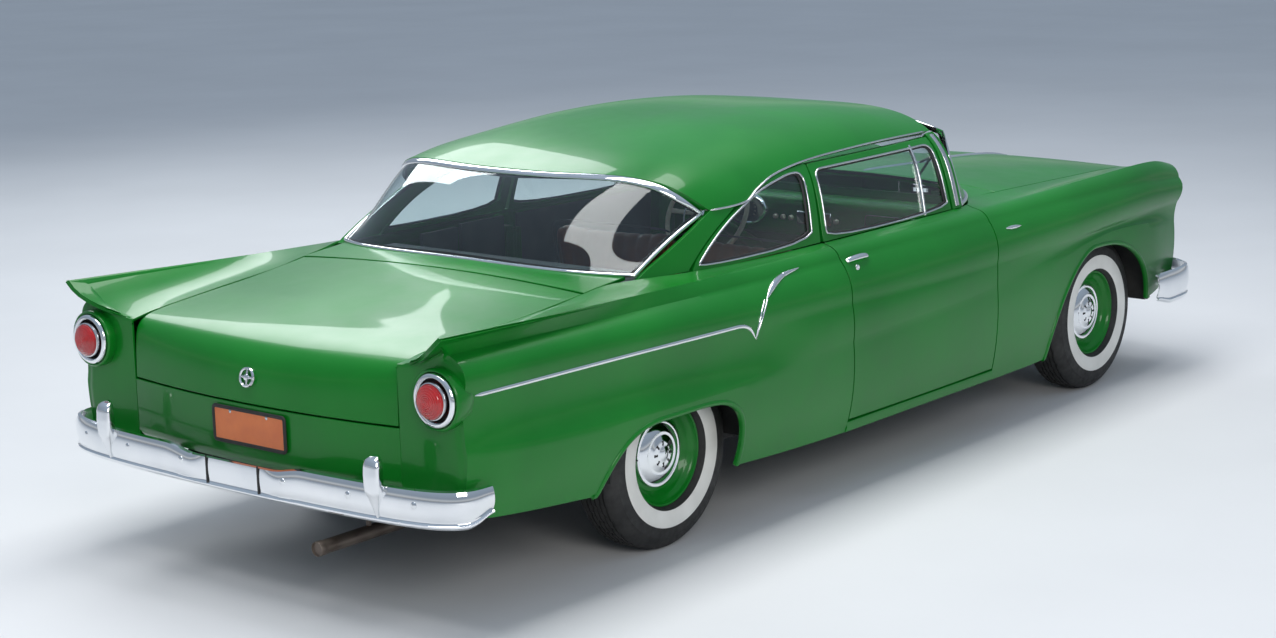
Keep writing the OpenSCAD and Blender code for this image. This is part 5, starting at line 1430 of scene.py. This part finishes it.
# ---- Seats ----
def padding(name, x0, x1, outline_points, axis_pleats, mat=SEAT_CLOTH, cap=22.0, voxel=16.0):
    """A stuffed piece: a rounded prism swollen by cloth under pressure, then marked with sewn channels.
    axis_pleats is (axis of the lines' spacing, low, high, count)."""
    loop = resample(rounded(outline_points, 2), 72, True)
    n = len(loop)
    rows = []
    centre = loop.mean(0)
    for k, x in enumerate(np.linspace(x0, x1, 26)):
        ends = min(1.0, min(k, 25 - k) / 3)
        shrink = 1 - 0.12 * (1 - math.sqrt(1 - (1 - ends) ** 2))
        flat = centre + (loop - centre) * shrink
        rows.append(np.column_stack([np.full(n, x), flat[:, 0], flat[:, 1]]))
    obj = build(name, np.concatenate(rows), capped(len(rows), n), mat)
    net = obj.modifiers.new("net", "REMESH")
    net.mode, net.voxel_size, net.use_smooth_shade = "VOXEL", voxel * MM, True
    view_layer = bpy.context.view_layer
    view_layer.update()
    mesh = bpy.data.meshes.new_from_object(obj.evaluated_get(bpy.context.evaluated_depsgraph_get()))
    obj.modifiers.clear()
    obj.data = mesh
    start = np.empty(len(mesh.vertices) * 3)
    mesh.vertices.foreach_get("co", start)
    start = start.reshape(-1, 3)
    end = start
    cloth = obj.modifiers.new("stuffing", "CLOTH")
    cloth.settings.use_pressure = True
    cloth.settings.uniform_pressure_force = 4
    cloth.settings.effector_weights.gravity = 0
    cloth.settings.quality = 4
    cloth.collision_settings.use_collision = False
    cloth.point_cache.frame_start, cloth.point_cache.frame_end = 1, 20
    for number in range(1, 21):
        bpy.context.scene.frame_set(number)
    swollen = obj.evaluated_get(bpy.context.evaluated_depsgraph_get()).data
    end = np.empty(len(start) * 3)
    swollen.vertices.foreach_get("co", end)
    end = end.reshape(-1, 3)
    obj.modifiers.clear()
    bpy.context.scene.frame_set(1)
    move = end - start
    far = np.linalg.norm(move, axis=1, keepdims=True)
    end = start + move * np.minimum(1, cap * MM / np.maximum(far, 1e-9))
    mesh.vertices.foreach_set("co", end.ravel())
    mesh.update()
    facing = np.empty(len(start) * 3)
    mesh.vertices.foreach_get("normal", facing)
    facing = facing.reshape(-1, 3)
    axis, low, high, lines = axis_pleats
    dent = np.zeros(len(start))
    for at in np.linspace(low, high, lines) * MM:
        dent += np.exp(-((end[:, axis] - at) / 0.007) ** 2)
    mesh.vertices.foreach_set("co", (end - facing * (dent * 0.007)[:, None]).ravel())
    mesh.materials.clear()
    mesh.materials.append(mat)
    mesh.shade_smooth()
    finer = obj.modifiers.new("finer", "SUBSURF")
    finer.levels = finer.render_levels = 1
    return obj


def two_sides(name, cad, *args):
    """The pad on the car's left, and its mirror image on the right."""
    left = padding(name + "_left", *args)
    right = left.copy()
    right.data = left.data.copy()
    right.name = name + "_right"
    right.data.transform(Matrix.Scale(-1, 4, (1, 0, 0)))
    right.data.flip_normals()
    bpy.context.scene.collection.objects.link(right)
    for obj in (left, right):
        ready(obj, "body", "seat_cloth", cad)


z0 = SEAT_Z
two_sides("front_seat_cushion", "front_seat", 18 * KX, 668 * KX,
          [(-384 * KY, z0 + 8), (-200 * KY, z0 + 4), (50 * KY, z0 + 6), (46 * KY, z0 + 172),
           (-200 * KY, z0 + 184), (-376 * KY, z0 + 168)], (0, 70, 620, 9))
two_sides("front_seat_back", "front_seat", 18 * KX, 668 * KX,
          [(82 * KY, z0 + 12), (104 * KY, z0 + 12), (168 * KY, z0 + 250), (212 * KY, z0 + 488),
           (180 * KY, z0 + 508), (140 * KY, z0 + 505), (72 * KY, z0 + 196)], (0, 70, 620, 9))
z1 = REAR_Z
two_sides("rear_seat_cushion", "rear_seat", 14 * KX, 676 * KX,
          [(502 * KY, z1 + 8), (700 * KY, z1 + 4), (850 * KY, z1 + 8), (846 * KY, z1 + 88),
           (680 * KY, z1 + 98), (500 * KY, z1 + 82)], (0, 70, 620, 9))
two_sides("rear_seat_back", "rear_seat", 14 * KX, 560 * KX,
          [(872 * KY, z1 + 14), (978 * KY, z1 + 12), (1078 * KY, z1 + 352), (1040 * KY, z1 + 374),
           (1006 * KY, z1 + 372), (868 * KY, z1 + 106)], (0, 70, 500, 7))
risers = block((160, -322 * KY, FLOOR_Z + 4), (656, 84 * KY, SEAT_Z + 4))
pair("front_seat_riser", risers, BLACK_STEEL, "body", "black_steel", bevel=8)
rear_box = block((128, 482 * KY, FLOOR_Z + 4), (684, 636 * KY, REAR_Z + 2))
pair("rear_seat_box", rear_box, TRIM_CLOTH, "body", "trim_panel", bevel=8)
piping = [sweep(resample(rounded([(668 * KX, 150 * KY, z0 + 300), (664 * KX, 196 * KY, z0 + 500),
                                  (600 * KX, 204 * KY, z0 + 522), (60 * KX, 204 * KY, z0 + 522),
                                  (14 * KX, 196 * KY, z0 + 500)], 2, False), 70), UP, disc(4, 10))]
pair("front_seat_piping", join(*piping), TRIM_CLOTH, "body", "trim_panel")

# ---- Trunk: side shelves out to the quarter panels, and a mat on the floor ----
shelf_y = np.linspace(REAR_AXLE + TYRE_R + 80, 2325 * KY, 40)
shelf_out = side(shelf_y, strip_at(shelf_y, 500 * KZ))[:, 0] - 12
shelf_rows = np.stack([np.stack([lerp(786 * KX, shelf_out, k), shelf_y, np.full(40, 503 * KZ)], -1)
                       for k in np.linspace(0, 1, 8)])
for hand, sign in HANDS:
    ready(shell("trunk_side_shelf_" + hand, shelf_rows * [sign, 1, 1], CLOTH_SKIN, UP, UNDERSEAL, 0),
          "body", "black_steel")
mat_x, mat_y = np.meshgrid(np.linspace(-560, 560, 161) * KX, np.linspace(1145, 2310, 12) * KY)
ripple = 1.2 * np.cos(mat_x * 2 * math.pi / 28)
ready(shell("trunk_mat", np.stack([mat_x, mat_y, REAR_Z + 4 + ripple], -1), 3, UP, CARPET, 0), "body",
      "trim_panel")

# ---- Floor, light and camera ----
floor_mat, floor_tree, floor_shader = nodes_of("pale_floor")
floor_tree.links.new(ramp(floor_tree, noise(floor_tree, 0.6, 3), (0.3, (0.66, 0.66, 0.66)),
                          (0.7, (0.70, 0.70, 0.70))),
                     floor_shader.inputs["Base Color"])
floor_tree.links.new(spread(floor_tree, noise(floor_tree, 3, 4), 0.7, 0.85),
                     floor_shader.inputs["Roughness"])
bpy.ops.mesh.primitive_plane_add(size=120, location=(0, 0, 0))
floor = bpy.context.object
floor.name = "studio_floor"
floor.data.materials.append(floor_mat)

world = bpy.data.worlds.new("studio")
bpy.context.scene.world = world
world.use_nodes = True
tree = world.node_tree
sky = tree.nodes["Background"]
where = tree.nodes.new("ShaderNodeTexCoord")
split = tree.nodes.new("ShaderNodeSeparateXYZ")
tree.links.new(where.outputs["Generated"], split.inputs["Vector"])
tree.links.new(ramp(tree, split.outputs["Z"], (0.0, (0.34, 0.35, 0.36)), (0.05, (0.62, 0.66, 0.70)),
                    (0.14, (0.30, 0.36, 0.44)),
                    (0.4, (0.34, 0.42, 0.52)), (1.0, (0.50, 0.60, 0.75))), sky.inputs["Color"])
sky.inputs["Strength"].default_value = 0.8


def area_light(name, place, target, size, power, colour=(1, 1, 1)):
    data = bpy.data.lights.new(name, "AREA")
    data.shape = "RECTANGLE"
    data.size, data.size_y = size
    data.energy = power
    data.color = colour
    lamp = bpy.data.objects.new(name, data)
    lamp.location = place
    lamp.rotation_euler = (Vector(target) - Vector(place)).to_track_quat("-Z", "Y").to_euler()
    bpy.context.scene.collection.objects.link(lamp)


area_light("overhead", (0, 0.5, 6.5), (0, 0, 0), (3.2, 8.0), 430)
area_light("rear_left", (-8.0, 6.5, 4.6), (0, 0.6, 0.6), (4.5, 3.0), 330, (1.0, 0.98, 0.95))
area_light("front_fill", (7.5, -3.0, 6.5), (0, -0.5, 0.6), (5.0, 3.0), 260, (0.95, 0.98, 1.0))

camera_data = bpy.data.cameras.new("camera")
camera_data.sensor_width = 36
camera_data.lens = 68.0
camera_data.clip_end = 200
camera = bpy.data.objects.new("camera", camera_data)
bpy.context.scene.collection.objects.link(camera)
CAMERA_PLACE = Vector((-5.9233, 7.5586, 2.4878))
YAW, PITCH, ROLL = 2.447, -0.202, -0.027
ahead = Vector((math.cos(PITCH) * math.sin(YAW), math.cos(PITCH) * math.cos(YAW), math.sin(PITCH)))
right = ahead.cross(Vector((0, 0, 1))).normalized()
above = right.cross(ahead)
c, s = math.cos(ROLL), math.sin(ROLL)
camera_right, camera_up = c * right + s * above, c * above - s * right
camera.matrix_world = Matrix((
    (camera_right.x, camera_up.x, -ahead.x, CAMERA_PLACE.x),
    (camera_right.y, camera_up.y, -ahead.y, CAMERA_PLACE.y),
    (camera_right.z, camera_up.z, -ahead.z, CAMERA_PLACE.z),
    (0, 0, 0, 1)))
bpy.context.scene.camera = camera
bpy.context.scene.view_settings.view_transform = "Standard"
